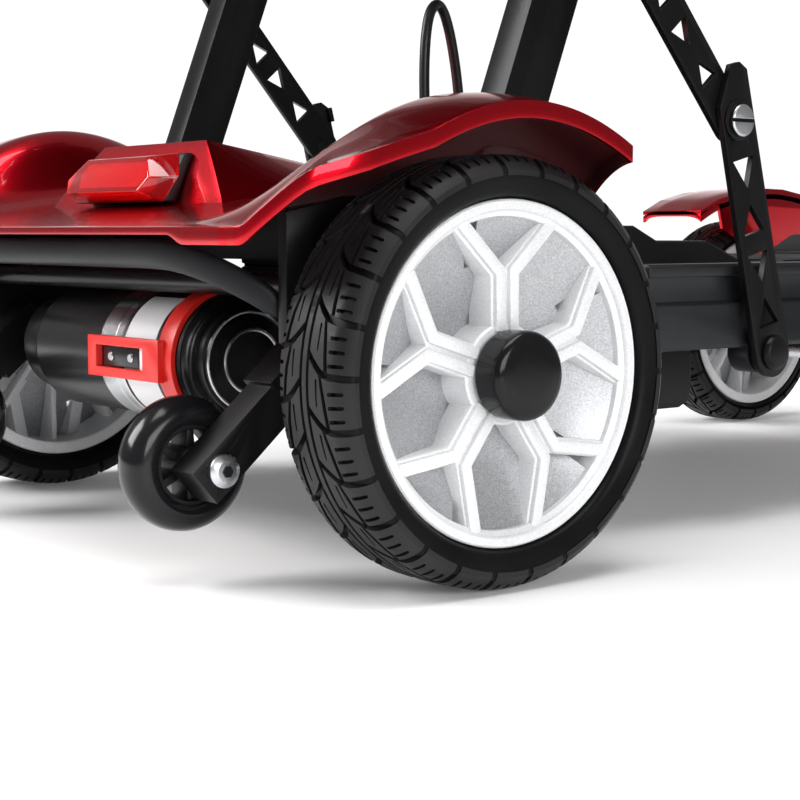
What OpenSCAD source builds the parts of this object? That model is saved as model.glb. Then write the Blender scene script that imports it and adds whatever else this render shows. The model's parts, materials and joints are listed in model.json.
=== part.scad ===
// Folding four-wheel mobility scooter: deck, folding seat frame, tiller, drive unit and wheels.
// +X is forward, +Y is the rider's left, +Z is up; all sizes in mm.

/* [Layout] */
// Rear axle to front axle
wheelbase = 670; // [655:1:695]
// Rear wheel centre plane to the other rear wheel centre plane
rear_track = 449; // [445:1:455]
// Front wheel centre plane to the other
front_track = 410; // [404:1:418]
// Rear axle back to the rear edge of the cover
rear_overhang = 132; // [128:1:138]
// Front axle forward to the tips of the front fenders
front_overhang = 130; // [126:1:136]
// Rear cover, lip to lip
body_w = 504; // [500:1:510]

/* [Wheels] */
// Rear tyre outside diameter
rear_tyre_d = 205; // [201:1:210]
// Rear tyre section width
rear_tyre_w = 54; // [50:1:56]
// Rear rim lip diameter
rear_rim_d = 163; // [158:1:167]
// Front tyre outside diameter
front_tyre_d = 178; // [174:1:182]
// Front tyre section width
front_tyre_w = 48; // [46:1:50]
// Front rim lip diameter
front_rim_d = 146; // [140:1:150]
// Rim width over the lips
rim_w = 45; // [42:1:45]
// Hub cap diameter
hub_cap_d = 42; // [38:1:44]
// How far the rear hub cap stands out of the spokes
hub_cap_h = 17; // [12:1:20]
// Drive shaft diameter
shaft_d = 17; // [15:0.5:18]
// Anti-tip wheel diameter
anti_tip_d = 66; // [62:1:68]
// Anti-tip wheel width
anti_tip_w = 24; // [20:1:24]
// Anti-tip wheel centre plane from the middle
anti_tip_half = 132; // [130:1:133]
// Anti-tip wheel centre behind the rear axle
anti_tip_back = 109; // [106:1:112]
// Anti-tip wheel bottom above the floor
anti_tip_clear = 25; // [21:0.5:28]

/* [Deck] */
// Top of the floor panel
deck_top = 150; // [148:1:152]
// Underside of the side rails
deck_bottom = 103; // [100:1:105]
// Outer face of a side rail from the middle
rail_half = 190; // [187:1:190]
// Side rail thickness
rail_t = 14; // [13:1:15]
// Floor panel thickness
panel_t = 8; // [6:0.5:9]
// Rear end of the deck ahead of the rear axle
deck_rear = 150; // [148:1:156]
// Front end of the deck behind the front axle
deck_gap = 125; // [120:1:135]
// Battery pack length, fore and aft
battery_l = 171; // [160:1:180]
// Battery pack half width
battery_half = 125; // [115:1:130]
// Battery pack height at its back
battery_h = 66; // [60:1:70]

/* [Fold] */
// Seat post size fore and aft
post_x = 30; // [26:1:32]
// Seat post size across
post_y = 20; // [18:1:20]
// Seat post centre plane from the middle
post_half = 157; // [155:1:158]
// Seat post lean from upright at rest
post_tilt = 20.8; // [20:0.2:22]
// Post pivot ahead of the rear axle
pivot_x = 41.3; // [40:0.1:44]
// Post pivot height
pivot_z = 135; // [133:0.5:138]
// Post pivot to the seat hinge
post_l = 355; // [350:1:365]
// Post pivot to the upper link stud
link_post = 212.8; // [208:0.2:218]
// Lower link pin ahead of the rear axle
link_x = 241; // [238:1:245]
// Lower link pin height
link_z = 100; // [98:0.5:102]
// Lower link length, pin to knee
lower_link_l = 134; // [132:0.5:138]
// Upper link length, knee to stud
upper_link_l = 138; // [136:0.5:142]
// Lower link width
lower_link_w = 28; // [26:1:30]
// Upper link width
upper_link_w = 24; // [22:1:26]
// Link plate thickness
link_t = 4; // [3.5:0.1:4]
// Link pin diameter
link_pin_d = 10; // [8:0.5:10]
// Seat hinge tube diameter
hinge_d = 24; // [20:1:25]

/* [Seat] */
// Seat depth
seat_l = 345; // [335:1:352]
// Seat width
seat_w = 380; // [360:1:380]
// Seat pan thickness
pan_t = 12; // [10:1:14]
// Seat cushion height without its crown
cushion_h = 54; // [50:1:58]
// Backrest cushion height
back_h = 246; // [230:1:256]
// Backrest cushion thickness
back_t = 42; // [38:1:46]
// Backrest lean from upright
back_lean = 10; // [8:1:13]
// Armrest length ahead of its pivot
arm_l = 236; // [215:1:240]
// Armrest pivot above the backrest hinge
arm_s = 130; // [120:1:140]

/* [Tiller] */
// Tiller lean from upright
tiller_lean = 17; // [15:0.5:18]
// Tiller hinge up the steering axis from the front beam
tiller_hinge = 170; // [165:1:178]
// Underside of the console up the steering axis
console_s = 690; // [675:1:695]
// Steering shaft diameter
column_d = 22; // [20:0.5:22]
// Tiller tube diameter
tiller_d = 38; // [34:1:40]
// Console half width
console_half = 80; // [72:1:84]
// Handlebar tube diameter
bar_d = 22; // [20:0.5:24]
// Hand grip diameter
grip_d = 30; // [28:1:32]
// Steering knuckle kingpin diameter
kingpin_d = 16; // [14:0.5:16]
// Front accessory bolt clearance hole
bolt_hole_d = 6.6; // [5.5:0.1:6.6]
// Front accessory bolt spacing
bolt_pitch = 60; // [50:1:64]

/* [Drive] */
// Motor body diameter
motor_d = 70; // [66:1:70]
// Motor centre behind the rear axle
motor_back = 45; // [45:0.5:47]
// Motor body half length
motor_half = 86; // [84:0.5:87]
// Rear cover skin thickness
cover_t = 3; // [2.5:0.1:3.5]
// Rear cover lip height
cover_lip = 8; // [7:0.5:9]
// Battery lead diameter
lead_d = 6; // [5:0.5:7]

/* [Hidden] */
$fn = 96;
// Clearance between pieces that move past each other
gap = 0.3;
// Radial running fit of a pin in its bore
fit = 0.05;
rear_reach = max(rear_overhang, anti_tip_back + anti_tip_d / 2);
total_l = rear_reach + wheelbase + front_overhang;
rx = rear_reach - total_l / 2;
fx = rx + wheelbase;
ra_z = rear_tyre_d / 2;
fa_z = front_tyre_d / 2;
ry = rear_track / 2;
fy = front_track / 2;
rail_in = rail_half - rail_t;
plate_in = rail_in - 7;
deck_x0 = rx + deck_rear;
deck_x1 = fx - deck_gap;
cover_e = rear_tyre_d - 35;
king_y = fy - 55;
king_r = 13;
bar_top = fa_z + 35;
bar_bot = fa_z + 9;
ear_top = fa_z + 23;
ear_bot = fa_z - 25;
rod_z = fa_z - 23;
rod_x = fx - 45;
tray_top = 103;
tray_x0 = rx + 45;
tray_x1 = rx + 126;
pan_x0 = rx + 128;
bat_x0 = rx + 128.5;
bat_x1 = bat_x0 + battery_l;
bat_z0 = deck_bottom + 3 + gap;
bat_top = bat_z0 + battery_h;
post_out = post_half + post_y / 2;
post_inn = post_half - post_y / 2;
// Link planes: the upper link runs inside the lower one, both outside the rails
upper_in = rail_half + 1.5;
upper_out = upper_in + link_t;
lower_in = upper_out + 0.5;
lower_out = lower_in + link_t;
// Points of the fold linkage in the X-Z plane
piv = [rx + pivot_x, pivot_z];
stud = piv + link_post * [sin(post_tilt), cos(post_tilt)];
lpin = [rx + link_x, link_z];
span_v = stud - lpin;
span_d = norm(span_v);
span_e = span_v / span_d;
span_m = (lower_link_l * lower_link_l - upper_link_l * upper_link_l + span_d * span_d) / (2 * span_d);
span_h = sqrt(lower_link_l * lower_link_l - span_m * span_m);
knee = lpin + span_m * span_e + span_h * [span_e[1], -span_e[0]];
lower_a = atan2(knee[0] - lpin[0], knee[1] - lpin[1]);
upper_a = atan2(stud[0] - knee[0], stud[1] - knee[1]);
hinge = piv + post_l * [sin(post_tilt), cos(post_tilt)];
// Seat measured from its hinge
pan_z = hinge[1] + 20;
cush_z = pan_z + pan_t;
seat_c = hinge[0] - 5;
seat_x0 = seat_c - seat_l / 2;
seat_half = seat_w / 2;
back_x = seat_x0 - 4;
back_z = cush_z + cushion_h + back_t + 14;
arm_half = seat_half + 6.5;
// Motor axis
mot_x = rx - motor_back;
mot_z = ra_z - 0.5;
mot_r = motor_d / 2;
at_x = rx - anti_tip_back;
at_z = anti_tip_clear + anti_tip_d / 2;
arm_y0 = anti_tip_half + 15;
arm_y1 = arm_y0 + 20;
stub_x = rx - 51;
stub_z = ra_z + 6;

// Cylinder along Y between two planes
module ycyl(r, y0, y1) {
  translate([0, y1, 0])
    rotate([90, 0, 0])
      cylinder(r = r, h = y1 - y0);
}

// Flat plate between two Y planes, drawn in X-Z
module yplate(y0, y1) {
  translate([0, y1, 0])
    rotate([90, 0, 0])
      linear_extrude(y1 - y0)
        children();
}

// Box between two corners
module span(a, b) {
  translate(a)
    cube(b - a);
}

// The piece drawn on the left and its mirror on the right
module both() {
  children();
  mirror([0, 1, 0])
    children();
}

// A piece drawn for the left, put on the left (1) or right (-1)
module handed(side) {
  if (side > 0) {
    children();
  } else {
    mirror([0, 1, 0])
      children();
  }
}

// A body turned about Y from a profile of radius against Y
module yturn(pts) {
  rotate([-90, 0, 0])
    rotate_extrude()
      polygon(pts);
}

// Straight bar in a plane between two points
module stroke(p, q, w) {
  d = (q - p) / norm(q - p);
  n = [-d[1], d[0]] * w / 2;
  polygon([p + n, q + n, q - n, p - n]);
}

// Frame of the steering axis: local Z runs up the tiller
module on_tiller() {
  translate([fx, 0, fa_z + 22])
    rotate([0, -tiller_lean, 0])
      children();
}

// Wheels

module tyre(d, w, lip_d) {
  r = d / 2;
  l = lip_d / 2;
  s = l - 4.5;
  b = rim_w / 2 - 3.5;
  m = (r + l) / 2;
  half = [
    [s, b], [l + 0.5, b], [l + 1, rim_w / 2 + 0.6], [m - 2, w / 2 - 0.8], [m + 4, w / 2], [r - 6, w / 2 - 0.6],
    [r - 2.2, w / 2 - 4], [r - 0.6, w / 2 - 9], [r - 0.2, w * 0.24], [r - 3.2, w * 0.21], [r - 3.2, w * 0.13],
    [r, w * 0.1]
  ];
  n = len(half);
  yturn(concat(half, [for (i = [n - 1 : -1 : 0]) [half[i][0], -half[i][1]]]));
}

// Y spoke pointing along the first axis of its plane
module spoke_plan(hub, ring) {
  fork = hub + (ring - hub) * 0.62;
  stroke([hub - 3, 0], [fork, 0], 24);
  stroke([fork - 9, 6], ring * [cos(26), sin(26)], 11);
  stroke([fork - 9, -6], ring * [cos(26), -sin(26)], 11);
}

module rim(lip_d, hub, bore) {
  l = lip_d / 2;
  s = l - 4.5;
  b = s - 5;
  h = rim_w / 2;
  yturn([
    [b, -h], [l, -h], [l, 3.5 - h], [s, 3.5 - h], [s, h - 3.5], [l, h - 3.5], [l, h], [l - 8.5, h],
    [l - 8.5, h - 4], [b, h - 9]
  ]);
  difference() {
    union() {
      ycyl(hub, 4 - h, h - 2);
      for (i = [0 : 4])
        rotate([0, 72 * i - 90, 0])
          yplate(h - 18, h - 3)
            spoke_plan(hub, b + 1.5);
      difference() {
        ycyl(b + 1, -6, -1);
        for (i = [0 : 4])
          rotate([0, 72 * i - 54, 0])
            yplate(-7, 0)
              polygon([[hub + 9, -4], [b - 6, -17], [b - 3, 0], [b - 6, 17], [hub + 9, 4]]);
      }
    }
    ycyl(bore, -rim_w, rim_w);
    for (i = [0 : 4])
      rotate([0, 72 * i - 90, 0])
        yplate(h - 6, h)
          stroke([hub + 3, 0], [hub + (b - hub) * 0.6, 0], 5);
  }
}

module rear_wheel(side) {
  translate([rx, side * ry, ra_z])
    handed(side)
      children();
}

module front_wheel(side) {
  translate([fx, side * fy, fa_z])
    handed(side)
      children();
}

module rear_tyre(side) {
  color("#17181a")
    rear_wheel(side)
      tyre(rear_tyre_d, rear_tyre_w, rear_rim_d);
}

module rear_rim(side) {
  color("#e9ebee")
    rear_wheel(side)
      rim(rear_rim_d, 24, shaft_d / 2);
}

module rear_cap(side) {
  color("#1b1c1f")
    rear_wheel(side)
      yturn([
        [0, rim_w / 2 - 2], [hub_cap_d / 2, rim_w / 2 - 2], [hub_cap_d / 2, rim_w / 2 + hub_cap_h - 6],
        [hub_cap_d / 2 - 3, rim_w / 2 + hub_cap_h - 3], [0, rim_w / 2 + hub_cap_h - 2]
      ]);
}

// Half shaft from the gearbox, right or left of its middle, to the outer end of the hub
module drive_shaft(side) {
  inner = motor_half + 13;
  color("#8d9096")
    translate([rx, 0, ra_z])
      if (side > 0) {
        ycyl(shaft_d / 2, inner + 1, ry + rim_w / 2 - 2);
      } else {
        ycyl(shaft_d / 2, -ry - rim_w / 2 + 2, inner - 1);
      }
}

module front_tyre(side) {
  color("#17181a")
    front_wheel(side)
      tyre(front_tyre_d, front_tyre_w, front_rim_d);
}

module front_rim(side) {
  color("#e9ebee")
    front_wheel(side)
      rim(front_rim_d, 21, kingpin_d / 2 + fit);
}

module anti_tip_wheel(side) {
  r = anti_tip_d / 2;
  w = anti_tip_w / 2;
  color("#202124")
    translate([at_x, side * anti_tip_half, at_z])
      difference() {
        yturn([[4 + fit, -w], [13, -w], [15, 5 - w], [20, 5 - w], [22, 1.5 - w], [r - 6, 1 - w], [r - 2, 5 - w],
          [r, 10 - w], [r, w - 10], [r - 2, w - 5], [r - 6, w - 1], [22, w - 1.5], [20, w - 5], [15, w - 5],
          [13, w], [4 + fit, w]]);
        for (i = [0 : 5])
          rotate([0, 60 * i, 0])
            translate([17.5, 0, 0])
              ycyl(2, -w, w);
      }
}

// Deck

module deck_frame() {
  color("#3b3d41") {
    both() {
      difference() {
        union() {
          translate([deck_x0, 0, 0])
            rotate([90, 0, 90])
              linear_extrude(deck_x1 - deck_x0)
                polygon([
                  [rail_in, deck_bottom], [rail_half - 2, deck_bottom], [rail_half, deck_bottom + 2],
                  [rail_half, deck_bottom + 25], [rail_half - 5, deck_bottom + 27],
                  [rail_half - 5, deck_top - 6], [rail_half, deck_top - 6], [rail_half, deck_top - 1],
                  [rail_half - 2, deck_top + 1], [rail_in, deck_top + 1]
                ]);
          translate([lpin[0], 0, lpin[1]])
            ycyl(12, rail_in, rail_half + 1);
        }
        translate([lpin[0], 0, lpin[1]])
          ycyl(link_pin_d / 2, rail_in - 1, rail_half + 2);
      }
    }
    span([deck_x1 - 20, -rail_in, deck_bottom + 10], [deck_x1, rail_in, deck_top - panel_t]);
    span([bat_x1 + 10, -rail_in, deck_bottom + 10], [bat_x1 + 30, rail_in, deck_top - panel_t]);
  }
}

module floor_panel() {
  x0 = bat_x1 + 3;
  x1 = deck_x1 - 0.5;
  color("#26272a") {
    span([x0, -rail_in + gap, deck_top - panel_t], [x1, rail_in - gap, deck_top]);
    for (i = [0 : 8])
      translate([x0 + 12, (i - 4) * 34 - 9, deck_top])
        cube([x1 - x0 - 24, 18, 1.5]);
  }
}

module belly_pan() {
  color("#1e1f21")
    span([pan_x0, -plate_in + gap, deck_bottom], [deck_x1 - 20, plate_in - gap, deck_bottom + 3]);
}

module battery_pack() {
  color("#1a1b1d")
    yplate(-battery_half, battery_half)
      polygon([
        [bat_x0, bat_z0], [bat_x0, bat_top], [bat_x1 - 95, bat_top], [bat_x1 - 75, bat_top - 9],
        [bat_x1 - 32, bat_top - 9], [bat_x1, deck_top + 1], [bat_x1, bat_z0]
      ]);
  color("#b9bcc0")
    difference() {
      span([bat_x0 + 44, -72, bat_top], [bat_x0 + 74, 72, bat_top + 9]);
      span([bat_x0 + 52, -60, bat_top], [bat_x0 + 66, 60, bat_top + 10]);
    }
}

module junction_box() {
  color("#151617")
    difference() {
      span([rx + 60, -100, tray_top], [rx + 124, 76, tray_top + 60]);
      span([rx + 56, -104, tray_top + 44], [rx + 62, 80, tray_top + 46]);
    }
}

module controller_box() {
  color("#141516")
    yplate(-130, -58)
      polygon([
        [rx + 160, deck_bottom], [rx + 160, deck_bottom - 40], [rx + 240, deck_bottom - 40],
        [rx + 247, deck_bottom - 37], [rx + 250, deck_bottom - 30], [rx + 250, deck_bottom]
      ]);
}

// Rear frame: two side plates, a tray for the electrics and two cross tubes

module rear_frame() {
  color("#1c1d1f") {
    both()
      difference() {
        yplate(plate_in, rail_in)
          polygon([
            [rx - 78, ra_z + 14], [rx - 78, cover_e + 8], [rx - 40, cover_e + 16], [rx + 34, cover_e + 18],
            [rx + 44, ra_z + 48], [rx + 62, ra_z + 48],
            [rx + 80, ra_z + 33], [deck_x0 + 50, ra_z + 33], [deck_x0 + 50, deck_bottom + 5], [rx + 110, 84],
            [rx - 20, ra_z - 23], [rx - 45, ra_z - 12]
          ]);
        translate([rx, 0, ra_z])
          ycyl(17, plate_in - 1, rail_in + 1);
        translate([piv[0], 0, piv[1]])
          ycyl(6, plate_in - 1, rail_in + 1);
      }
    span([tray_x0, -plate_in, tray_top - 3], [tray_x1, plate_in, tray_top]);
    translate([rx + 100, 0, tray_top - 14])
      ycyl(12, -plate_in, plate_in);
    translate([rx - 66, 0, ra_z + 40.5])
      ycyl(6, -plate_in, plate_in);
    both()
      span([rx - 30, plate_in - 26, ra_z + 45], [rx - 4, plate_in, ra_z + 48]);
  }
}

module axle_bearings() {
  color("#a9acb1")
    both()
      translate([rx, 0, ra_z])
        difference() {
          ycyl(17, plate_in - 2, rail_in + 2);
          ycyl(shaft_d / 2 + fit, plate_in - 3, rail_in + 3);
        }
}

module fold_pins() {
  color("#9a9da2")
    both() {
      translate([lpin[0], 0, lpin[1]])
        yturn([
          [0, rail_in], [link_pin_d / 2, rail_in], [link_pin_d / 2, rail_half + 1], [8, rail_half + 1],
          [8, lower_in - gap], [link_pin_d / 2, lower_in - gap], [link_pin_d / 2, lower_out + gap],
          [10, lower_out + gap], [10, lower_out + 2], [8, lower_out + 4.5], [0, lower_out + 5]
        ]);
      translate([piv[0], 0, piv[1]])
        yturn([
          [0, post_inn - 4], [10, post_inn - 4], [10, post_inn - gap], [6, post_inn - gap], [6, rail_in],
          [10, rail_in], [10, rail_in + 5], [0, rail_in + 5]
        ]);
    }
}

// Rear cover: a valley with a hump in the middle and a fender over each rear wheel

function clamp01(t) = max(0, min(1, t));
function ease(t) = clamp01(t) * clamp01(t) * (3 - 2 * clamp01(t));
function fender_z(x, a) = let (s = x + 0.65 * max(0, a - 205) * clamp01((-50 - x) / 64)) x < 8
  ? cover_e + 1 + 64 * sin(90 * clamp01((s + 122) / 130))
  : cover_e + 65 - 42 * pow((x - 8) / 97, 2);
function valley_z(x) = cover_e + 1 + 24 * sin(90 * clamp01((x + 132) / 210));
function hump_z(x) = cover_e + 47 - 0.167 * (x + 46) - valley_z(x);
function cover_z(x, y) = let (
  a = abs(y),
  w = ease((a - 150) / 55),
  k = 6 * pow(max(0, a - 205) / 47, 2) * clamp01((x + 132) / 40)
) valley_z(x) * (1 - w) + (fender_z(x, a) - k) * w
  + hump_z(x) * min(clamp01((92 - a) / 37), clamp01((x + 60) / 14));
function cover_back(a) = a < body_w / 2 - 45
  ? -rear_overhang
  : -rear_overhang + 45 - sqrt(max(0, 45 * 45 - pow(a - body_w / 2 + 45, 2))) * 0.98;
function cover_front(a) = a < 178
  ? 42
  : a < 190 ? 42 + 63 * ease((a - 178) / 12) : 105 - 32 * (a - 190) / (body_w / 2 - 190);
cover_half = [22, 44, 55, 64, 73, 82, 92, 120, 150, 164, 178, 184, 190, 200, 211, 222, 232, 240, body_w / 2 - 5,
  body_w / 2];
cover_ys = concat([for (i = [len(cover_half) - 1 : -1 : 0]) -cover_half[i]], [0], cover_half);
cover_ts = [0, 0.023, 0.098, 0.184, 0.27, 0.345, 0.414, 0.437, 0.46, 0.4943, 0.52, 0.586, 0.701, 0.816, 0.92,
  0.977, 1];

module rear_cover() {
  nu = len(cover_ts);
  nv = len(cover_ys);
  top = [
    for (t = cover_ts) for (y = cover_ys)
      let (x = cover_back(abs(y)) * (1 - t) + cover_front(abs(y)) * t) [rx + x, y, cover_z(x, y)]
  ];
  low = [
    for (i = [0 : nu - 1]) for (j = [0 : nv - 1])
      let (p = top[i * nv + j], rim = i == 0 || i == nu - 1 || j == 0 || j == nv - 1)
        [p[0], p[1], p[2] - (rim ? cover_lip : cover_t)]
  ];
  n = nu * nv;
  up = [
    for (i = [0 : nu - 2]) for (j = [0 : nv - 2])
      let (a = i * nv + j) each [[a, a + 1, a + nv + 1], [a, a + nv + 1, a + nv]]
  ];
  down = [for (f = up) [f[2] + n, f[1] + n, f[0] + n]];
  side_j = [
    for (j = [0 : nv - 2])
      each [
        [j, j + n, j + 1 + n], [j, j + 1 + n, j + 1],
        [n - nv + j, n - nv + j + 1 + n, n - nv + j + n], [n - nv + j, n - nv + j + 1, n - nv + j + 1 + n]
      ]
  ];
  side_i = [
    for (i = [0 : nu - 2])
      let (a = i * nv, b = i * nv + nv - 1)
        each [
          [a, a + nv + n, a + n], [a, a + nv, a + nv + n],
          [b, b + n, b + nv + n], [b, b + nv + n, b + nv]
        ]
  ];
  color("#b3121c") {
    polyhedron(points = concat(top, low), faces = concat(up, down, side_j, side_i), convexity = 6);
    both()
      translate([rx - 17, plate_in - 13, ra_z + 48])
        cylinder(r = 7, h = cover_z(-17, plate_in - 13) - cover_t / 2 - ra_z - 48, $fn = 24);
  }
}

// Bumper band across the back, bending forward and down to the side plates
module bumper_band() {
  z = cover_e - 12;
  p = [[rx - 104, 112, z], [rx - 96, 142, z - 8], [rx - 73, plate_in - 3, z - 26]];
  color("#1a1b1d") {
    span([rx - 109, -112, z - 7.5], [rx - 99, 112, z + 7.5]);
    both()
      for (i = [0 : 1])
        hull() {
          translate(p[i] - [0, 0, 7.5])
            cylinder(r = i == 0 ? 5 : 4, h = 15, $fn = 16);
          translate(p[i + 1] - [0, 0, 7.5])
            cylinder(r = 3, h = 15, $fn = 16);
        }
  }
}

module tail_light_housing() {
  z = cover_e + 27.5;
  color("#141516")
    yplate(-48, 48)
      polygon([[rx - 68.5, z - 13], [rx - 54.5, z + 13], [rx - 49.3, z + 13], [rx - 60.5, z - 13]]);
}

module tail_light_lens() {
  z = cover_e + 27.5;
  back = [[-54.5, 42, 13], [-61.5, 53, 0], [-68.5, 48, -13]];
  face = [[-69.5, 32, 11], [-75.44, 45, 0], [-79.49, 39, -7.5]];
  p = [
    for (q = [back, face])
      each concat([for (v = q) [rx + v[0], v[1], z + v[2]]], [for (i = [2 : -1 : 0]) [rx + q[i][0], -q[i][1], z + q[i][2]]])
  ];
  color("#d0141e")
    polyhedron(
      points = p,
      faces = concat(
        [for (i = [1 : 4]) each [[0, i, i + 1], [6, 7 + i, 6 + i]]],
        [for (i = [0 : 5]) let (k = (i + 1) % 6) each [[i, 6 + i, 6 + k], [i, 6 + k, k]]]
      )
    );
}

// Drive unit

module motor_body() {
  color("#1d1e20")
    translate([mot_x, 0, mot_z])
      ycyl(mot_r, -motor_half, motor_half);
}

module motor_band() {
  color("#c9ccd0")
    translate([mot_x, 0, mot_z])
      difference() {
        ycyl(mot_r + 1.2, -22, 2);
        ycyl(mot_r, -23, 3);
      }
}

module motor_end_cap() {
  color("#2a2b2e")
    translate([mot_x, 0, mot_z])
      mirror([0, 1, 0])
        yturn([
          [0, motor_half], [28, motor_half], [28, motor_half + 6], [25, motor_half + 6], [25, motor_half + 8],
          [21, motor_half + 8], [21, motor_half + 6], [17, motor_half + 6], [17, motor_half + 10],
          [13, motor_half + 12], [0, motor_half + 12]
        ]);
}

module gearbox_case() {
  color("#3a3c40")
    difference() {
      union() {
        translate([mot_x, 0, mot_z])
          ycyl(28, motor_half, motor_half + 24);
        translate([rx, 0, ra_z])
          ycyl(30, motor_half, motor_half + 24);
        span([mot_x, motor_half, mot_z - 26], [rx, motor_half + 24, mot_z + 26]);
        span([rx + 10, motor_half, tray_top], [rx + 58, motor_half + 24, tray_top + 12]);
      }
      translate([rx, 0, ra_z])
        ycyl(shaft_d / 2 + fit, motor_half - 1, motor_half + 25);
    }
}

module freewheel_lever() {
  color("#c01a20")
    translate([mot_x, 0, mot_z])
      difference() {
        union() {
          difference() {
            ycyl(mot_r + 3, -78, -64);
            ycyl(mot_r + gap, -79, -63);
            span([24, -80, -mot_r - 5], [mot_r + 10, -62, mot_r + 5]);
          }
          span([-mot_r - 6, -70, -11], [-mot_r - 2, 5, 11]);
        }
        span([-mot_r - 7, -54, -6], [-mot_r - 1, -4, 6]);
      }
}

module anti_tip_arms() {
  v = [stub_x - at_x, stub_z - at_z];
  a = atan2(v[1], v[0]);
  l = norm(v);
  color("#191a1c")
    both()
      difference() {
        union() {
          translate([at_x, 0, at_z])
            rotate([0, -a, 0]) {
              span([-12, arm_y0, -10], [l, arm_y1, 10]);
              span([l - 31, arm_y0 - 2, -12.5], [l + 12, plate_in, 12.5]);
            }
        }
        translate([at_x, 0, at_z])
          ycyl(4, arm_y0 - 1, arm_y1 + 1);
      }
  color("#b4b7bb")
    both()
      translate([at_x, 0, at_z])
        yturn([
          [0, anti_tip_half - anti_tip_w / 2 - 4], [8, anti_tip_half - anti_tip_w / 2 - 4],
          [8, anti_tip_half - anti_tip_w / 2 - gap], [4, anti_tip_half - anti_tip_w / 2 - gap], [4, arm_y1],
          [8, arm_y1], [8, arm_y1 + 3], [5, arm_y1 + 5], [0, arm_y1 + 5]
        ]);
}

// Battery lead: a loop standing up between the junction box and the battery pack

lead_a = [rx + 90, -73, tray_top + 67];
lead_b = [bat_x0 + 6, -56, bat_top + 7];
lead_pts = [
  lead_a, lead_a + [0, 0, 16], lead_a + [-1.5, -0.5, 40], lead_a + [-2.5, -0.5, 65], lead_a + [-2.5, 0, 89],
  lead_a + [-0.5, 1, 109], lead_a + [4, 3, 122], lead_a + [11, 5.5, 127.5], lead_a + [18.5, 8.5, 124],
  lead_a + [25.5, 11.5, 113], lead_a + [31, 13.5, 97], lead_b + [-9.5, -2, 71], lead_b + [-5.5, -1, 46],
  lead_b + [-2, -0.5, 22], lead_b + [0, 0, 10], lead_b
];
function knot(i) = lead_pts[max(0, min(len(lead_pts) - 1, i))];
function curve(i, t) = 0.5 * (2 * knot(i) + (knot(i + 1) - knot(i - 1)) * t
  + (2 * knot(i - 1) - 5 * knot(i) + 4 * knot(i + 1) - knot(i + 2)) * t * t
  + (3 * knot(i) - knot(i - 1) - 3 * knot(i + 1) + knot(i + 2)) * t * t * t);
lead_line = concat([for (i = [0 : len(lead_pts) - 2]) for (t = [0, 0.5]) curve(i, t)], [lead_b]);

module battery_lead() {
  m = len(lead_line);
  s = 10;
  side = [0.53, -0.848, 0];
  rings = [
    for (i = [0 : m - 1])
      let (
        d = i == 0 || i == m - 1 ? [0, 0, i == 0 ? 1 : -1] : lead_line[i + 1] - lead_line[i - 1],
        e = d / norm(d),
        b = cross(e, side) / norm(cross(e, side)),
        c = cross(b, e)
      )
      for (k = [0 : s - 1]) lead_line[i] + lead_d / 2 * (cos(360 * k / s) * c + sin(360 * k / s) * b)
  ];
  skin = [
    for (i = [0 : m - 2]) for (k = [0 : s - 1])
      let (a = i * s + k, b = i * s + (k + 1) % s)
        each [[a, b, b + s], [a, b + s, a + s]]
  ];
  ends = [[for (k = [s - 1 : -1 : 0]) k], [for (k = [0 : s - 1]) (m - 1) * s + k]];
  color("#101112")
    polyhedron(points = rings, faces = concat(skin, ends), convexity = 8);
}

module lead_glands() {
  color("#2b2c2f") {
    translate([lead_a[0], lead_a[1], tray_top + 60])
      cylinder(r1 = 8, r2 = 5.5, h = 7);
    translate([lead_b[0], lead_b[1], bat_top])
      cylinder(r1 = 6, r2 = 5, h = 7);
  }
}

// Front end

module front_beam() {
  e = king_y + 14;
  color("#1e1f21") {
    difference() {
      translate([fx - 15, 0, 0])
        rotate([90, 0, 90])
          linear_extrude(30)
            polygon([
              [-e, ear_bot], [-king_y + 28, ear_bot], [-king_y + 28, bar_bot], [king_y - 28, bar_bot],
              [king_y - 28, ear_bot], [e, ear_bot], [e, ear_bot + 6], [king_y - 20, ear_bot + 6],
              [king_y - 20, ear_top], [e, ear_top], [e, ear_top + 6], [king_y - 18, ear_top + 6],
              [king_y - 18, bar_top], [-king_y + 18, bar_top], [-king_y + 18, ear_top + 6], [-e, ear_top + 6],
              [-e, ear_top], [-king_y + 20, ear_top], [-king_y + 20, ear_bot + 6], [-e, ear_bot + 6]
            ]);
      both()
        translate([fx, king_y, ear_bot - 1])
          cylinder(d = kingpin_d, h = 60);
      on_tiller()
        cylinder(d = column_d + 2 * fit, h = 120, center = true);
    }
    both()
      translate([fx, king_y, ear_bot - 3])
        rotate_extrude()
          polygon([
            [0, 0], [10, 0], [10, 3], [kingpin_d / 2, 3], [kingpin_d / 2, ear_top + 9 - ear_bot],
            [11, ear_top + 9 - ear_bot], [11, ear_top + 13 - ear_bot], [0, ear_top + 13 - ear_bot]
          ]);
  }
}

module nose_frame() {
  x1 = fx + front_overhang - 18;
  color("#232427")
    difference() {
      union() {
        span([deck_x1, -40, bar_top], [x1, 40, bar_top + 18]);
        span([x1, -45, bar_top - 14], [x1 + 6, 45, bar_top + 34]);
        intersection() {
          on_tiller()
            cylinder(r = column_d / 2 + 9, h = 96);
          span([fx - 90, -60, bar_top + 1], [fx + 60, 60, bar_top + 200]);
        }
      }
      on_tiller()
        cylinder(d = column_d + 2 * fit, h = 260, center = true);
      for (s = [-1, 1])
        translate([x1 - 1, s * bolt_pitch / 2, bar_top + 26])
          rotate([0, 90, 0])
            cylinder(d = bolt_hole_d, h = 8);
    }
}

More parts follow.
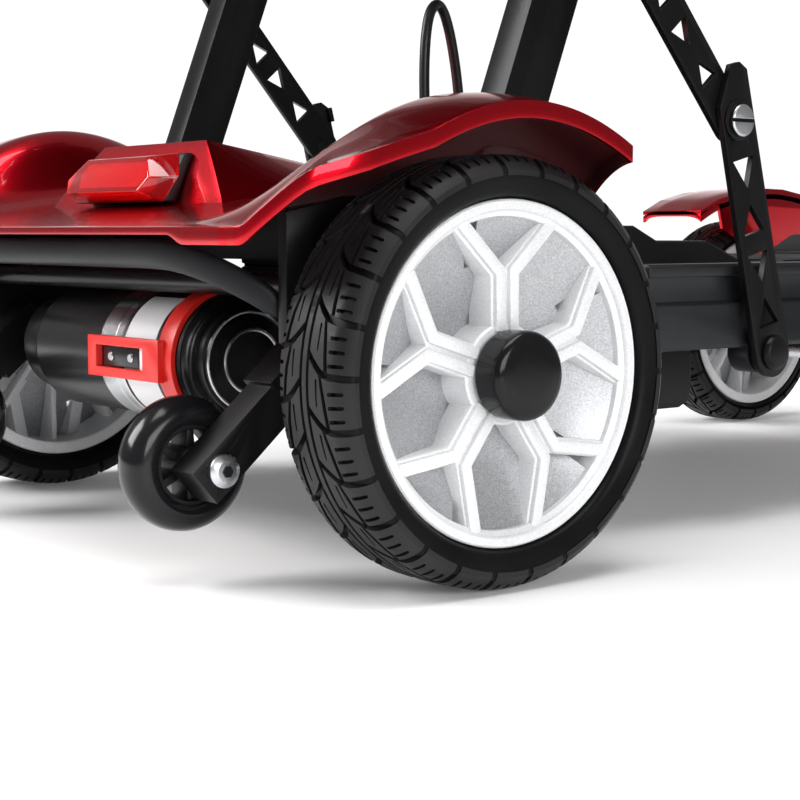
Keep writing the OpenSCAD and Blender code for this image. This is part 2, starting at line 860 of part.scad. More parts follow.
module nose_cover() {
  z = bar_top + 18;
  color("#1a1b1d")
    difference() {
      yplate(-66, 66)
        polygon([
          [deck_x1 + 4, z], [deck_x1 + 4, z + 12], [deck_x1 + 30, z + 24], [fx + 20, z + 30], [fx + 60, z + 22],
          [fx + 84, z + 8], [fx + 84, z]
        ]);
      on_tiller()
        cylinder(r = column_d / 2 + 9 + gap, h = 260, center = true);
    }
}

module knuckle(side) {
  color("#26272a")
    handed(side)
      difference() {
        union() {
          translate([fx, king_y, ear_bot + 6 + gap])
            cylinder(r = king_r, h = ear_top - ear_bot - 6 - 2 * gap);
          translate([fx, 0, fa_z])
            ycyl(kingpin_d / 2, king_y, fy + rim_w / 2 + 2);
          translate([fx, 0, fa_z])
            ycyl(14, king_y, fy - rim_w / 2 + 4 - gap);
          translate([fx, 0, fa_z])
            ycyl(15, fy + rim_w / 2 - 2 + gap, fy + rim_w / 2 + 8);
          span([rod_x - 8, king_y - 8, rod_z + 6 + gap], [fx - 4, king_y + 8, rod_z + 16]);
        }
        translate([fx, king_y, 0])
          cylinder(r = kingpin_d / 2 + fit, h = 300);
      }
}

// Top line of a front fender from back to front, measured from the wheel centre
fender_line = [
  [-84, 97], [-62, 107], [-32, 114], [0, 117], [22, 116.5], [50, 112], [78, 101], [104, 85],
  [front_overhang, 72]
];

module front_fender(side) {
  n = len(fender_line);
  low = [for (i = [n - 1 : -1 : 0]) fender_line[i] - [i == n - 1 ? 1 : 0, i == n - 1 ? 4 : 3.2]];
  color("#b3121c")
    handed(side)
      translate([fx, 0, fa_z + 0]) {
        yplate(fy - 34, fy + 34)
          polygon(concat(fender_line, low));
        difference() {
          yplate(fy - 34, fy - 31)
            polygon(concat(
              [for (i = [1 : 6]) fender_line[i] - [0, 3]],
              [[62, 78], [34, 70], [16, 40], [16, -6], [8, -15], [-8, -15], [-16, -6], [-16, 40], [-30, 70],
                [-56, 82]]
            ));
          ycyl(14, fy - 36, fy - 30);
        }
      }
}

module tie_rod() {
  color("#6f7277") {
    span([rod_x - 5, -king_y - 6, rod_z - 2], [rod_x + 5, king_y + 6, rod_z + 6]);
    span([rod_x + 5, -9, rod_z - 2], [fx - 8, 9, rod_z + 5.5]);
  }
}

// Tiller

module steering_shaft() {
  color("#202124") {
    difference() {
      union() {
        on_tiller() {
          translate([0, 0, -34])
            cylinder(d = column_d, h = 164);
          difference() {
            span([-24, -30, 102], [24, 30, 128]);
            span([-25, -20, 127], [25, 20, 140]);
          }
          both() {
            span([-20, 20, 120], [20, 28, tiller_hinge]);
            translate([0, 0, tiller_hinge])
              ycyl(20, 20, 28);
          }
        }
        span([fx - 26, -8, rod_z + 8], [fx + 10, 8, rod_z + 15]);
      }
      on_tiller()
        translate([0, 0, tiller_hinge])
          ycyl(6, -40, 40);
    }
    on_tiller()
      translate([0, 0, tiller_hinge])
        yturn([[0, -33], [11, -33], [11, -28], [6, -28], [6, 28], [11, 28], [11, 33], [0, 33]]);
  }
}

module tiller_tube() {
  color("#232427")
    on_tiller()
      difference() {
        union() {
          translate([0, 0, tiller_hinge + 10])
            cylinder(d = tiller_d, h = console_s - tiller_hinge - 10);
          translate([0, 0, tiller_hinge])
            ycyl(19, -20 + gap, 20 - gap);
          translate([0, 0, tiller_hinge + 44])
            cylinder(d = tiller_d + 10, h = 30);
        }
        translate([0, 0, tiller_hinge])
          ycyl(6 + fit, -30, 30);
      }
}

module console_body() {
  color("#17181a")
    on_tiller()
      difference() {
        hull()
          for (x = [-26, 22]) for (s = [-1, 1])
            translate([x, s * (console_half - 20), console_s])
              cylinder(r = x > 0 ? 18 : 20, h = x > 0 ? 74 : 82, $fn = 40);
        translate([-8, 0, console_s + 60])
          cylinder(r = 7 + fit, h = 60);
      }
}

module handlebar() {
  z = console_s + 44;
  a = [0, console_half + 32, z];
  b = [-66, console_half + 102, z + 12];
  d = b - a;
  l = norm(d);
  color("#2a2b2e")
    on_tiller()
      both() {
        translate([0, 0, z])
          ycyl(bar_d / 2, console_half, a[1]);
        translate(a)
          sphere(d = bar_d + 2, $fn = 48);
        translate(a)
          rotate([0, acos(d[2] / l), atan2(d[1], d[0])]) {
            cylinder(d = bar_d, h = 20);
            translate([0, 0, 20])
              cylinder(d = grip_d, h = l - 16);
          }
      }
}

module head_lamp() {
  color("#d8dade")
    on_tiller()
      difference() {
        translate([tiller_d / 2, 0, console_s - 50])
          rotate([0, 90, 0])
            rotate_extrude()
              polygon([[0, -6], [10, -6], [10, 6], [24, 12], [27, 22], [27, 34], [24, 36], [0, 38]]);
        translate([0, 0, console_s - 100])
          cylinder(d = tiller_d, h = 100);
      }
}

// Finger lever below the console, turning about the tiller axis
module throttle_lever() {
  s = console_s - 14;
  color("#3a3c40")
    on_tiller()
      difference() {
        union() {
          translate([0, 0, s])
            cylinder(r = 27, h = 10);
          span([-7, -console_half - 48, s], [7, console_half + 48, s + 10]);
          both()
            span([-18, console_half + 20, s], [-4, console_half + 48, s + 22]);
        }
        translate([0, 0, s - 1])
          cylinder(r = tiller_d / 2 + fit, h = 20);
      }
}

module horn_button() {
  color("#b3121c")
    on_tiller()
      translate([-8, 0, console_s + 66])
        cylinder(r = 7, h = 20);
}

module speed_dial() {
  color("#303236")
    on_tiller()
      translate([-26, 40, console_s + 82 + gap])
        difference() {
          union() {
            cylinder(r = 15, h = 5);
            translate([0, 0, 5])
              cylinder(r1 = 15, r2 = 13, h = 6);
          }
          span([-1.5, 4, 9], [1.5, 14, 12]);
        }
}

// Folding seat frame

module on_post() {
  translate([piv[0], 0, piv[1]])
    rotate([0, post_tilt, 0])
      children();
}

module seat_posts() {
  color("#1b1c1e")
    on_post() {
      both() {
        difference() {
          union() {
            span([-post_x / 2, post_inn, 0], [post_x / 2, post_out, post_l + 4]);
            ycyl(post_x / 2, post_inn, post_out);
            translate([0, 0, link_post])
              ycyl(7, post_out, upper_in - gap);
          }
          ycyl(6 + fit, post_inn - 1, post_out + 1);
        }
      }
      translate([0, 0, post_l - 60])
        ycyl(10, -post_inn, post_inn);
      translate([0, 0, post_l])
        ycyl(hinge_d / 2, -post_inn, post_inn);
    }
}

// Three-cornered lightening hole at a height up a link, pointing up (1) or down (-1)
module web_hole(z, w, up) {
  polygon([[-w, z - up * w * 0.9], [w, z - up * w * 0.9], [0, z + up * w * 1.1]]);
}

module lower_links() {
  w = lower_link_w / 2;
  l = lower_link_l;
  color("#1c1d1f")
    both()
      translate([lpin[0], 0, lpin[1]])
        rotate([0, lower_a, 0]) {
          difference() {
            yplate(lower_in, lower_out)
              difference() {
                union() {
                  circle(r = w);
                  polygon([[-w, 0], [w, 0], [w, l + 26], [w - 5, l + 31], [2, l + 31], [-w + 2, l + 10]]);
                }
                web_hole(24, 8.5, 1);
                web_hole(51, 8.5, -1);
                web_hole(78, 8.5, 1);
                web_hole(105, 8.5, -1);
              }
            ycyl(link_pin_d / 2 + fit, lower_in - 1, lower_out + 1);
          }
          span([w - 3, upper_in, l + 16], [w, lower_in, l + 26]);
        }
  color("#c2c5c9")
    both()
      translate([knee[0], 0, knee[1]])
        difference() {
          yturn([
            [0, upper_in], [link_pin_d / 2, upper_in], [link_pin_d / 2, lower_out], [11, lower_out],
            [11, lower_out + 1.5], [9, lower_out + 1.5], [9, lower_out + 4], [8, lower_out + 5], [0, lower_out + 5]
          ]);
          span([-10, lower_out + 3.5, -1], [10, lower_out + 6, 1]);
        }
}

module upper_links() {
  w = upper_link_w / 2;
  l = upper_link_l;
  color("#1c1d1f")
    both()
      translate([knee[0], 0, knee[1]])
        rotate([0, upper_a, 0]) {
          difference() {
            yplate(upper_in, upper_out)
              difference() {
                union() {
                  circle(r = w);
                  polygon([[-w, 0], [w, 0], [w, l], [-w, l]]);
                  translate([0, l])
                    circle(r = w);
                }
                web_hole(34, 7, 1);
                web_hole(60, 7, -1);
                web_hole(86, 7, 1);
                web_hole(112, 7, -1);
              }
            ycyl(link_pin_d / 2 + fit, upper_in - 1, upper_out + 1);
          }
          translate([0, 0, l])
            yturn([[0, upper_out], [9, upper_out], [9, upper_out + 2.5], [7, upper_out + 4.5], [0, upper_out + 5]]);
        }
}

// Seat

module seat_pan() {
  x1 = seat_x0 + seat_l;
  color("#1d1e20")
    difference() {
      union() {
        span([seat_x0, -seat_half, pan_z], [x1, seat_half, cush_z]);
        both() {
          translate([hinge[0], 0, hinge[1]])
            ycyl(hinge_d / 2 + 6, 58, 80);
          span([hinge[0] - hinge_d / 2 - 6, 58, hinge[1]], [hinge[0] + hinge_d / 2 + 6, 80, pan_z]);
          span([back_x - 14, seat_half - 1, pan_z], [back_x + 44, seat_half + 5, cush_z]);
          yplate(seat_half - 1, seat_half + 5)
            polygon([
              [back_x - 14, pan_z], [back_x + 44, pan_z], [back_x + 44, cush_z], [back_x + 14, back_z],
              [back_x - 14, back_z]
            ]);
          translate([back_x, 0, back_z])
            ycyl(14, seat_half - 1, seat_half + 5);
          translate([back_x, 0, back_z])
            ycyl(6, seat_half - 12, seat_half + 5);
        }
      }
      translate([hinge[0], 0, hinge[1]])
        ycyl(hinge_d / 2 + fit, -90, 90);
    }
}

// Cushion with a crowned top and sides drawn in between the corners
function pad_top(u, v) = sqrt(sqrt(max(0, (1 - pow(abs(u), 5)) * (1 - pow(abs(v), 5)))));
module pad(lx, ly, h, crown, pull, n) {
  s = [for (i = [0 : n]) let (t = 2 * i / n - 1) sin(90 * t) * 0.55 + t * 0.45];
  flat = [
    for (u = s) for (v = s)
      [u * (lx / 2 - pull * (1 - v * v) * u * u), v * (ly / 2 - pull * (1 - u * u) * v * v)]
  ];
  m = n + 1;
  top = [
    for (i = [0 : n]) for (j = [0 : n])
      let (u = s[i], v = s[j], p = flat[i * m + j])
        [p[0], p[1], h * 0.45 + h * 0.55 * pad_top(u, v) + crown * (1 - u * u) * (1 - v * v)]
  ];
  low = [
    for (i = [0 : n]) for (j = [0 : n])
      let (p = flat[i * m + j], e = i == 0 || i == n || j == 0 || j == n) [p[0], p[1], e ? h * 0.45 : 0]
  ];
  function top_id(i, j) = i * m + j;
  function low_id(i, j) = (i == 0 || i == n || j == 0 || j == n) ? i * m + j : m * m + i * m + j;
  up = [
    for (i = [0 : n - 1]) for (j = [0 : n - 1])
      let (a = top_id(i, j), b = top_id(i + 1, j), c = top_id(i + 1, j + 1), d = top_id(i, j + 1))
        each i + j == n - 1 && abs(i - j) == n - 1 ? [[d, b, a], [d, c, b]] : [[d, c, a], [c, b, a]]
  ];
  down = [
    for (i = [0 : n - 1]) for (j = [0 : n - 1])
      let (a = low_id(i, j), b = low_id(i + 1, j), c = low_id(i + 1, j + 1), d = low_id(i, j + 1))
        each i + j == n - 1 && abs(i - j) == n - 1 ? [[b, d, a], [c, d, b]] : [[c, d, a], [b, c, a]]
  ];
  polyhedron(points = concat(top, low), faces = concat(up, down), convexity = 4);
}

module seat_cushion() {
  color("#202124")
    translate([seat_c, 0, cush_z])
      pad(seat_l - 6, seat_w - 4, cushion_h, 6, 6, 16);
}

module on_back() {
  translate([back_x, 0, back_z])
    rotate([0, -back_lean, 0])
      children();
}

module backrest_frame() {
  color("#1b1c1e")
    on_back() {
      both() {
        difference() {
          union() {
            span([-12, seat_half - 10, 0], [12, seat_half - 2, back_h + 4]);
            ycyl(12, seat_half - 10, seat_half - 2);
            translate([0, 0, arm_s])
              ycyl(7, seat_half - 2, arm_half + 29);
          }
          ycyl(6 + fit, seat_half - 13, seat_half + 1);
        }
      }
      span([-12, -seat_half + 10, 30], [-6, seat_half - 10, 60]);
      span([-12, -seat_half + 10, back_h - 60], [-6, seat_half - 10, back_h - 30]);
      span([-6, -seat_half + 60, 24], [-4, seat_half - 60, back_h - 20]);
    }
}

module backrest_cushion() {
  color("#202124")
    on_back()
      translate([-4, 0, 8 + back_h / 2])
        rotate([0, 90, 0])
          pad(back_h, seat_w - 24, back_t, 5, 5, 16);
}

module armrest(side) {
  color("#1f2023")
    handed(side)
      translate([back_x, 0, back_z] + arm_s * [-sin(back_lean), 0, cos(back_lean)]) {
        difference() {
          union() {
            ycyl(13, arm_half + 1, arm_half + 27);
            span([0, arm_half + 4, -13], [arm_l, arm_half + 24, 3]);
          }
          ycyl(7 + fit, arm_half, arm_half + 28);
        }
        translate([(arm_l + 22) / 2, arm_half + 14, 3])
          pad(arm_l - 18, 34, 22, 3, 1.5, 8);
      }
}

deck_frame();
floor_panel();
belly_pan();
battery_pack();
junction_box();
controller_box();
rear_frame();
rear_cover();
bumper_band();
tail_light_housing();
tail_light_lens();
motor_body();
motor_band();
motor_end_cap();
gearbox_case();
axle_bearings();
anti_tip_arms();
battery_lead();
lead_glands();
fold_pins();
front_beam();
nose_frame();
nose_cover();
freewheel_lever();
rear_tyre(-1);  // rear_tyre_right
rear_rim(-1);  // rear_rim_right
rear_cap(-1);  // rear_cap_right
drive_shaft(-1);  // drive_shaft_right
rear_tyre(1);  // rear_tyre_left
rear_rim(1);  // rear_rim_left
rear_cap(1);  // rear_cap_left
drive_shaft(1);  // drive_shaft_left
front_tyre(-1);  // front_tyre_right
front_rim(-1);  // front_rim_right
front_tyre(1);  // front_tyre_left
front_rim(1);  // front_rim_left
anti_tip_wheel(-1);  // anti_tip_wheel_right
anti_tip_wheel(1);  // anti_tip_wheel_left
knuckle(-1);  // knuckle_right
front_fender(-1);  // front_fender_right
knuckle(1);  // knuckle_left
front_fender(1);  // front_fender_left
tie_rod();
steering_shaft();
tiller_tube();
console_body();
handlebar();
head_lamp();
throttle_lever();
horn_button();
speed_dial();
seat_posts();
lower_links();
upper_links();
seat_pan();
seat_cushion();
backrest_frame();
backrest_cushion();
armrest(-1);  // armrest_right
armrest(1);  // armrest_left
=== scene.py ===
import json
import math

import bpy
from mathutils import Matrix, Vector

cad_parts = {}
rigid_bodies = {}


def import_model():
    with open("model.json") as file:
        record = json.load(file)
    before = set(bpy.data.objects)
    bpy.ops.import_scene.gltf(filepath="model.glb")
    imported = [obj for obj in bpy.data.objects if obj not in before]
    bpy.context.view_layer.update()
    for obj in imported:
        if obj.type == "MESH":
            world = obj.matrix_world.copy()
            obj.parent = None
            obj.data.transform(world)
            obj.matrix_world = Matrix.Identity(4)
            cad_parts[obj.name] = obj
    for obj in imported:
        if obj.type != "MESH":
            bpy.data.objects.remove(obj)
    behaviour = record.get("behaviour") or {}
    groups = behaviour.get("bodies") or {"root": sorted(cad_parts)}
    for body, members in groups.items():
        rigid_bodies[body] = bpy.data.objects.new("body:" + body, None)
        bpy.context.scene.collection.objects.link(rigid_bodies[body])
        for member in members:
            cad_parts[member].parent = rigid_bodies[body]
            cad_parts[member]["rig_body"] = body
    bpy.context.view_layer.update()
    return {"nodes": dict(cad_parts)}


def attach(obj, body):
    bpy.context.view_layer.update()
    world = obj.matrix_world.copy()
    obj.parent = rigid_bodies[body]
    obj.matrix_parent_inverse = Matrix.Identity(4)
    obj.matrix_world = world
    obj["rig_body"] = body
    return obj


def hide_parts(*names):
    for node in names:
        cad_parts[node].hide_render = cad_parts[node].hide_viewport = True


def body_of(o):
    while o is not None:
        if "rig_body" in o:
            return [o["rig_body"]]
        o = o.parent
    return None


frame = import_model()

# Studio
# The scooter stands on white paper before a lit white wall, in a room that is dim otherwise.
# A wide soft box hangs above, one stands behind on the left and one on the right.
CAMERA_PLACE = (-0.87617, -0.86145, 0.16938)
CAMERA_TILT = math.radians(84.524)
CAMERA_TURN = math.radians(-38.054)
CAMERA_LENS = 79.56
TO_THE_WALL = (0.6164, 0.7874, 0)
ALONG_THE_WALL = (0.7874, -0.6164, 0)
UNDER_THE_SCOOTER = (-0.25, -0.15, 0)
ROOM_DUSK = 0.22
FLOOR_WIDE = 9
# A fade is where it starts and ends, and then its value at each of the two.
WALL_SIDES = (0.55, 0.90, 0.0, 1.0)
WALL_TOP = (0.16, 0.55, 1.05, 0.0)
PAPER_SHADE = (0.62, 2.4, 0.94, 0.60)
PAPER_GLOW = (0.28, 1.05, 0.06, 1.0)
GLOW_SIDES = (0.75, 1.7, 1.0, 0.0)

bpy.ops.object.select_all(action="DESELECT")
bpy.ops.object.camera_add(location=CAMERA_PLACE, rotation=(CAMERA_TILT, 0, CAMERA_TURN))
camera = bpy.context.object
camera.data.sensor_width = 36
camera.data.lens = CAMERA_LENS
camera.data.clip_start = 0.01
bpy.context.scene.camera = camera
bpy.context.scene.view_settings.view_transform = "Standard"


def fade(tree, source, ends):
    """A value that goes from one end to the other while the source does."""
    node = tree.nodes.new("ShaderNodeMapRange")
    for socket, value in zip(("From Min", "From Max", "To Min", "To Max"), ends):
        node.inputs[socket].default_value = value
    tree.links.new(source, node.inputs["Value"])
    return node.outputs["Result"]


def worked_out(tree, kind, operation, *operands):
    """The value of a math node, whose operands are other nodes' outputs or plain values."""
    node = tree.nodes.new(kind)
    node.operation = operation
    for socket, operand in zip(node.inputs, operands):
        if isinstance(operand, bpy.types.NodeSocket):
            tree.links.new(operand, socket)
        else:
            socket.default_value = operand
    return node.outputs["Value"]


room = bpy.data.worlds.new("white_room")
bpy.context.scene.world = room
room.use_nodes = True
tree = room.node_tree
sky = tree.nodes["Background"]
sky.inputs["Color"].default_value = (1, 1, 1, 1)
look = tree.nodes.new("ShaderNodeTexCoord").outputs["Generated"]
split = tree.nodes.new("ShaderNodeSeparateXYZ")
tree.links.new(look, split.inputs["Vector"])
toward = worked_out(tree, "ShaderNodeVectorMath", "DOT_PRODUCT", look, TO_THE_WALL)
wall_sides = fade(tree, toward, WALL_SIDES)
wall_top = fade(tree, split.outputs["Z"], WALL_TOP)
lit_wall = worked_out(tree, "ShaderNodeMath", "MULTIPLY", wall_sides, wall_top)
room_light = worked_out(tree, "ShaderNodeMath", "MAXIMUM", lit_wall, ROOM_DUSK)
tree.links.new(room_light, sky.inputs["Strength"])


def soft_box(name, place, aim, size, watts):
    """A rectangular area light at a place, turned to what it aims at."""
    bpy.ops.object.light_add(type="AREA", location=place)
    box = bpy.context.object
    box.name = name
    box.data.shape = "RECTANGLE"
    box.data.size, box.data.size_y = size
    box.data.energy = watts
    box.rotation_euler = (Vector(aim) - Vector(place)).to_track_quat("-Z", "Y").to_euler()


soft_box("top_box", (-0.45, -0.35, 2.3), (-0.35, -0.25, 0), (1.6, 1.6), 50)
soft_box("key_box", (-1.85, 1.15, 1.35), (-0.4, -0.05, 0.1), (1.2, 1.2), 58)
soft_box("fill_box", (-0.75, -2.35, 0.75), (-0.3, -0.1, 0.1), (1.6, 0.9), 32)

bpy.ops.mesh.primitive_grid_add(x_subdivisions=24, y_subdivisions=24, size=FLOOR_WIDE)
floor = bpy.context.object
floor.name = "studio_floor"
paper = bpy.data.materials.new("white_paper")
paper.use_nodes = True
tree = paper.node_tree
sheet = tree.nodes["Principled BSDF"]
sheet.inputs["Roughness"].default_value = 0.6
sheet.inputs["Emission Color"].default_value = (1, 1, 1, 1)
# The paper is painted: its base colour darkens away from the scooter as painted shade, and its emission is a
# painted glow, weak under the scooter and strong towards the wall.
spot = tree.nodes.new("ShaderNodeNewGeometry").outputs["Position"]
away = worked_out(tree, "ShaderNodeVectorMath", "DISTANCE", spot, UNDER_THE_SCOOTER)
tree.links.new(fade(tree, away, PAPER_SHADE), sheet.inputs["Base Color"])
behind = worked_out(tree, "ShaderNodeVectorMath", "DOT_PRODUCT", spot, TO_THE_WALL)
across = worked_out(tree, "ShaderNodeVectorMath", "DOT_PRODUCT", spot, ALONG_THE_WALL)
aside = worked_out(tree, "ShaderNodeMath", "ABSOLUTE", across)
glow = fade(tree, behind, PAPER_GLOW)
glow = worked_out(tree, "ShaderNodeMath", "MULTIPLY", glow, fade(tree, aside, GLOW_SIDES))
tree.links.new(glow, sheet.inputs["Emission Strength"])
floor.data.materials.append(paper)

# Battery lead
# A round black PVC lead that stands up in one loop between the junction box
# and the battery pack, held at each end by a moulded gland.
LEAD_THICK = 0.006
LEAD_OUT = Vector((-0.239, -0.073, 0.170))
LEAD_IN = Vector((-0.1945, -0.056, 0.1793))
LEAD_RISE = [
    (0, 0, 0), (0, 0, 16), (-1.5, -0.5, 40), (-2.5, -0.5, 65), (-2.5, 0, 89), (-0.5, 1, 109), (4, 3, 122),
    (11, 5.5, 127.5), (18.5, 8.5, 124), (25.5, 11.5, 113), (31, 13.5, 97),
]
LEAD_FALL = [(-9.5, -2, 71), (-5.5, -1, 46), (-2, -0.5, 22), (0, 0, 10), (0, 0, 0)]
STEPS_BETWEEN = 5

marks = bpy.data.node_groups.new("patches_and_grain", "ShaderNodeTree")
for row in ("Patch", "Grain"):
    marks.interface.new_socket(row + " scale", in_out="INPUT", socket_type="NodeSocketFloat")
for row in ("Patch", "Grain"):
    marks.interface.new_socket(row, in_out="OUTPUT", socket_type="NodeSocketFloat")
inlet = marks.nodes.new("NodeGroupInput")
outlet = marks.nodes.new("NodeGroupOutput")
place = marks.nodes.new("ShaderNodeTexCoord")
for row, detail in (("Patch", 4), ("Grain", 2)):
    noise = marks.nodes.new("ShaderNodeTexNoise")
    noise.inputs["Detail"].default_value = detail
    marks.links.new(place.outputs["Object"], noise.inputs["Vector"])
    marks.links.new(inlet.outputs[row + " scale"], noise.inputs["Scale"])
    marks.links.new(noise.outputs["Fac"], outlet.inputs[row])


def patterned(name, group, scales):
    """A new material and the pattern group in it, with the pattern's scales."""
    made = bpy.data.materials.new(name)
    made.use_nodes = True
    pattern = made.node_tree.nodes.new("ShaderNodeGroup")
    pattern.node_tree = group
    for socket, value in scales.items():
        pattern.inputs[socket].default_value = value
    return made, pattern


def wire_up(made, factor, colours, gloss, height, relief, fixed):
    """Joins colour, gloss and bump to the material's shader, and sets what is the same all over."""
    colour_a, colour_b, colour_out = 6, 7, 2
    tree = made.node_tree
    shader = tree.nodes["Principled BSDF"]
    tint = tree.nodes.new("ShaderNodeMix")
    tint.data_type = "RGBA"
    tint.inputs[colour_a].default_value = (*colours[0], 1)
    tint.inputs[colour_b].default_value = (*colours[1], 1)
    tree.links.new(factor, tint.inputs["Factor"])
    tree.links.new(tint.outputs[colour_out], shader.inputs["Base Color"])
    tree.links.new(gloss, shader.inputs["Roughness"])
    bump = tree.nodes.new("ShaderNodeBump")
    bump.inputs["Distance"].default_value = relief
    tree.links.new(height, bump.inputs["Height"])
    tree.links.new(bump.outputs["Normal"], shader.inputs["Normal"])
    for socket, value in fixed.items():
        next(s for s in shader.inputs if s.name.lower() == socket.replace("_", " ")).default_value = value


def finish(name, colours, rough, relief=0.00003, patch=14, grain=1500, **fixed):
    """A Principled finish: two close colours and two roughnesses in patches, over a fine grain."""
    made, skin = patterned(name, marks, {"Patch scale": patch, "Grain scale": grain})
    patches = skin.outputs["Patch"]
    factor = fade(made.node_tree, patches, (0.35, 0.65, 0, 1))
    gloss = fade(made.node_tree, patches, (0.3, 0.7, *rough))
    wire_up(made, factor, colours, gloss, skin.outputs["Grain"], relief, fixed)
    return made


def along(line, i, t):
    """A point on the smooth line through the given points, t of the way from point i to the next."""
    before, here, there, after = (Vector(line[max(0, min(len(line) - 1, i + k))]) for k in (-1, 0, 1, 2))
    return 0.5 * (
        2 * here
        + (there - before) * t
        + (2 * before - 5 * here + 4 * there - after) * t**2
        + (3 * here - before - 3 * there + after) * t**3
    )


lead_jacket = finish(
    "lead_jacket", ((0.009, 0.009, 0.01), (0.014, 0.014, 0.015)), (0.30, 0.40), specular_ior_level=0.3
)
knots = [LEAD_OUT + Vector(p) / 1000 for p in LEAD_RISE] + [LEAD_IN + Vector(p) / 1000 for p in LEAD_FALL]
route = [
    along(knots, i, step / STEPS_BETWEEN) for i in range(len(knots) - 1) for step in range(STEPS_BETWEEN)
]
route.append(knots[-1])
line = bpy.data.curves.new("battery_lead_line", "CURVE")
line.dimensions = "3D"
line.bevel_depth = LEAD_THICK / 2
line.bevel_resolution = 6
line.use_fill_caps = True
run = line.splines.new("POLY")
run.points.add(len(route) - 1)
for point, at in zip(run.points, route):
    point.co = (*at, 1)
lead = bpy.data.objects.new("battery_lead_jacket", line)
bpy.context.collection.objects.link(lead)
line.materials.append(lead_jacket)
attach(lead, "chassis")
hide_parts("battery_lead")


def ready(piece):
    """piece alone selected and active, so that an operator touches nothing else."""
    bpy.ops.object.select_all(action="DESELECT")
    piece.select_set(True)
    bpy.context.view_layer.objects.active = piece


def soften(piece, width, rounds=2, angle=32, smooth=38):
    """Breaks the sharp edges of a piece as a mould or a tumbled edge does."""
    ready(piece)
    if width:
        edge = piece.modifiers.new("edge", "BEVEL")
        edge.width = width
        edge.segments = rounds
        edge.limit_method = "ANGLE"
        edge.angle_limit = math.radians(angle)
        edge.use_clamp_overlap = True
        bpy.ops.object.modifier_apply(modifier="edge")
    bpy.ops.object.shade_smooth_by_angle(angle=math.radians(smooth))


def dressed(node, cloth, width=0.0009, rounds=2):
    """The CAD node's own shape as a finished piece, with broken edges and its finish."""
    source = frame["nodes"][node]
    piece = bpy.data.objects.new(node + "_finished", source.data.copy())
    bpy.context.collection.objects.link(piece)
    ready(piece)
    bpy.ops.object.mode_set(mode="EDIT")
    bpy.ops.mesh.select_all(action="SELECT")
    bpy.ops.mesh.remove_doubles(threshold=0.000005)
    bpy.ops.mesh.dissolve_limited(angle_limit=math.radians(0.8))
    bpy.ops.object.mode_set(mode="OBJECT")
    soften(piece, width, rounds)
    piece.data.materials.clear()
    piece.data.materials.append(cloth)
    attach(piece, body_of(source)[0])
    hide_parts(node)
    return piece


def part_finish(piece, cloth, wanted):
    """Gives another finish to the faces whose middle, in mm, passes the test."""
    piece.data.materials.append(cloth)
    for face in piece.data.polygons:
        if wanted(face.center * 1000):
            face.material_index = len(piece.data.materials) - 1


black_plastic = finish(
    "moulded_black", ((0.005, 0.005, 0.0055), (0.009, 0.009, 0.0095)), (0.36, 0.48), relief=0.00006,
    grain=1100, specular_ior_level=0.22,
)
dressed("lead_glands", black_plastic, 0.0008)

# Deck
# Two dark aluminium side rails with a groove along them, a ribbed plastic floor
# panel between them and a thin steel pan below, all screwed to the cross bars.
deck_metal = finish(
    "anodised_rail", ((0.022, 0.023, 0.026), (0.034, 0.035, 0.038)), (0.28, 0.40), patch=6, metallic=0.6,
    specular_ior_level=0.3,
)
frame_black = finish(
    "powder_black", ((0.004, 0.004, 0.0045), (0.007, 0.007, 0.0075)), (0.26, 0.36), relief=0.00004,
    grain=1300, specular_ior_level=0.16,
)
dressed("deck_frame", deck_metal, 0.0012)
dressed("floor_panel", black_plastic, 0.0007)
dressed("belly_pan", frame_black, 0.0006)

# Battery and boxes
# The battery is a black moulded pack with a bright carrying handle; the junction
# box and the controller are plain moulded housings bolted to tray and rail.
HANDLE_FOOT = 172.6
bright_metal = finish(
    "bright_aluminium", ((0.62, 0.63, 0.65), (0.72, 0.73, 0.75)), (0.18, 0.28), patch=20, metallic=1.0
)
battery = dressed("battery_pack", black_plastic, 0.0028, 3)
part_finish(battery, bright_metal, lambda c: c.z > HANDLE_FOOT)
dressed("junction_box", black_plastic, 0.003, 3)
dressed("controller_box", black_plastic, 0.002, 3)

# Rear frame
# Two cut steel side plates joined by tubes and a tray, powder coated black, with
# ball bearings pressed in for the drive shafts and black pins for the fold.
steel = finish(
    "zinc_steel", ((0.50, 0.51, 0.53), (0.62, 0.63, 0.65)), (0.20, 0.34), patch=40, metallic=1.0
)
dressed("rear_frame", frame_black, 0.0011)
dressed("axle_bearings", steel, 0.0005)
dressed("fold_pins", frame_black, 0.0006)

# Rear cover
# One vacuum-formed shell in clear-coated metallic red: a low middle with a raised
# box for the tail light, and a fender over each rear wheel, with a turned-down lip.
# A black sheet stands across the opening below it as painted shade that darkens the gap under the cover.
# Lengths are from the rear axle.
AXLE_X = -329.0
COVER_BACK = -132
COVER_FRONT = 42
COVER_HALF = 252
CORNER = 45
CORNER_REACH = 0.98
SHELF = 171
MIDDLE_RISE = 24
MIDDLE_LENGTH = 210
FENDER_FOOT = 150
SHOULDER = 205
SHOULDER_DROP = 6
FENDER_BACK = -122
FENDER_FRONT = 105
FENDER_RISE = 64
FENDER_FALL = 42
FENDER_SWEEP = 32
CREST_X = 8
NOTCH = 178
NOTCH_END = 190
BOX_HALF = 92
BOX_SLOPE = 37
BOX_BACK = -60
BOX_RISE = 14
BOX_TOP = 217
BOX_TILT = 0.167
LIP_DEEP = 0.008
LIP_RAISED = 0.0045
LIP_RAISED_HALF = 172
LIP_BLEND = 14
TURN_IN = 0.65
TURN_IN_FROM = -50
TURN_IN_OVER = 64
DROP_OVER = 40

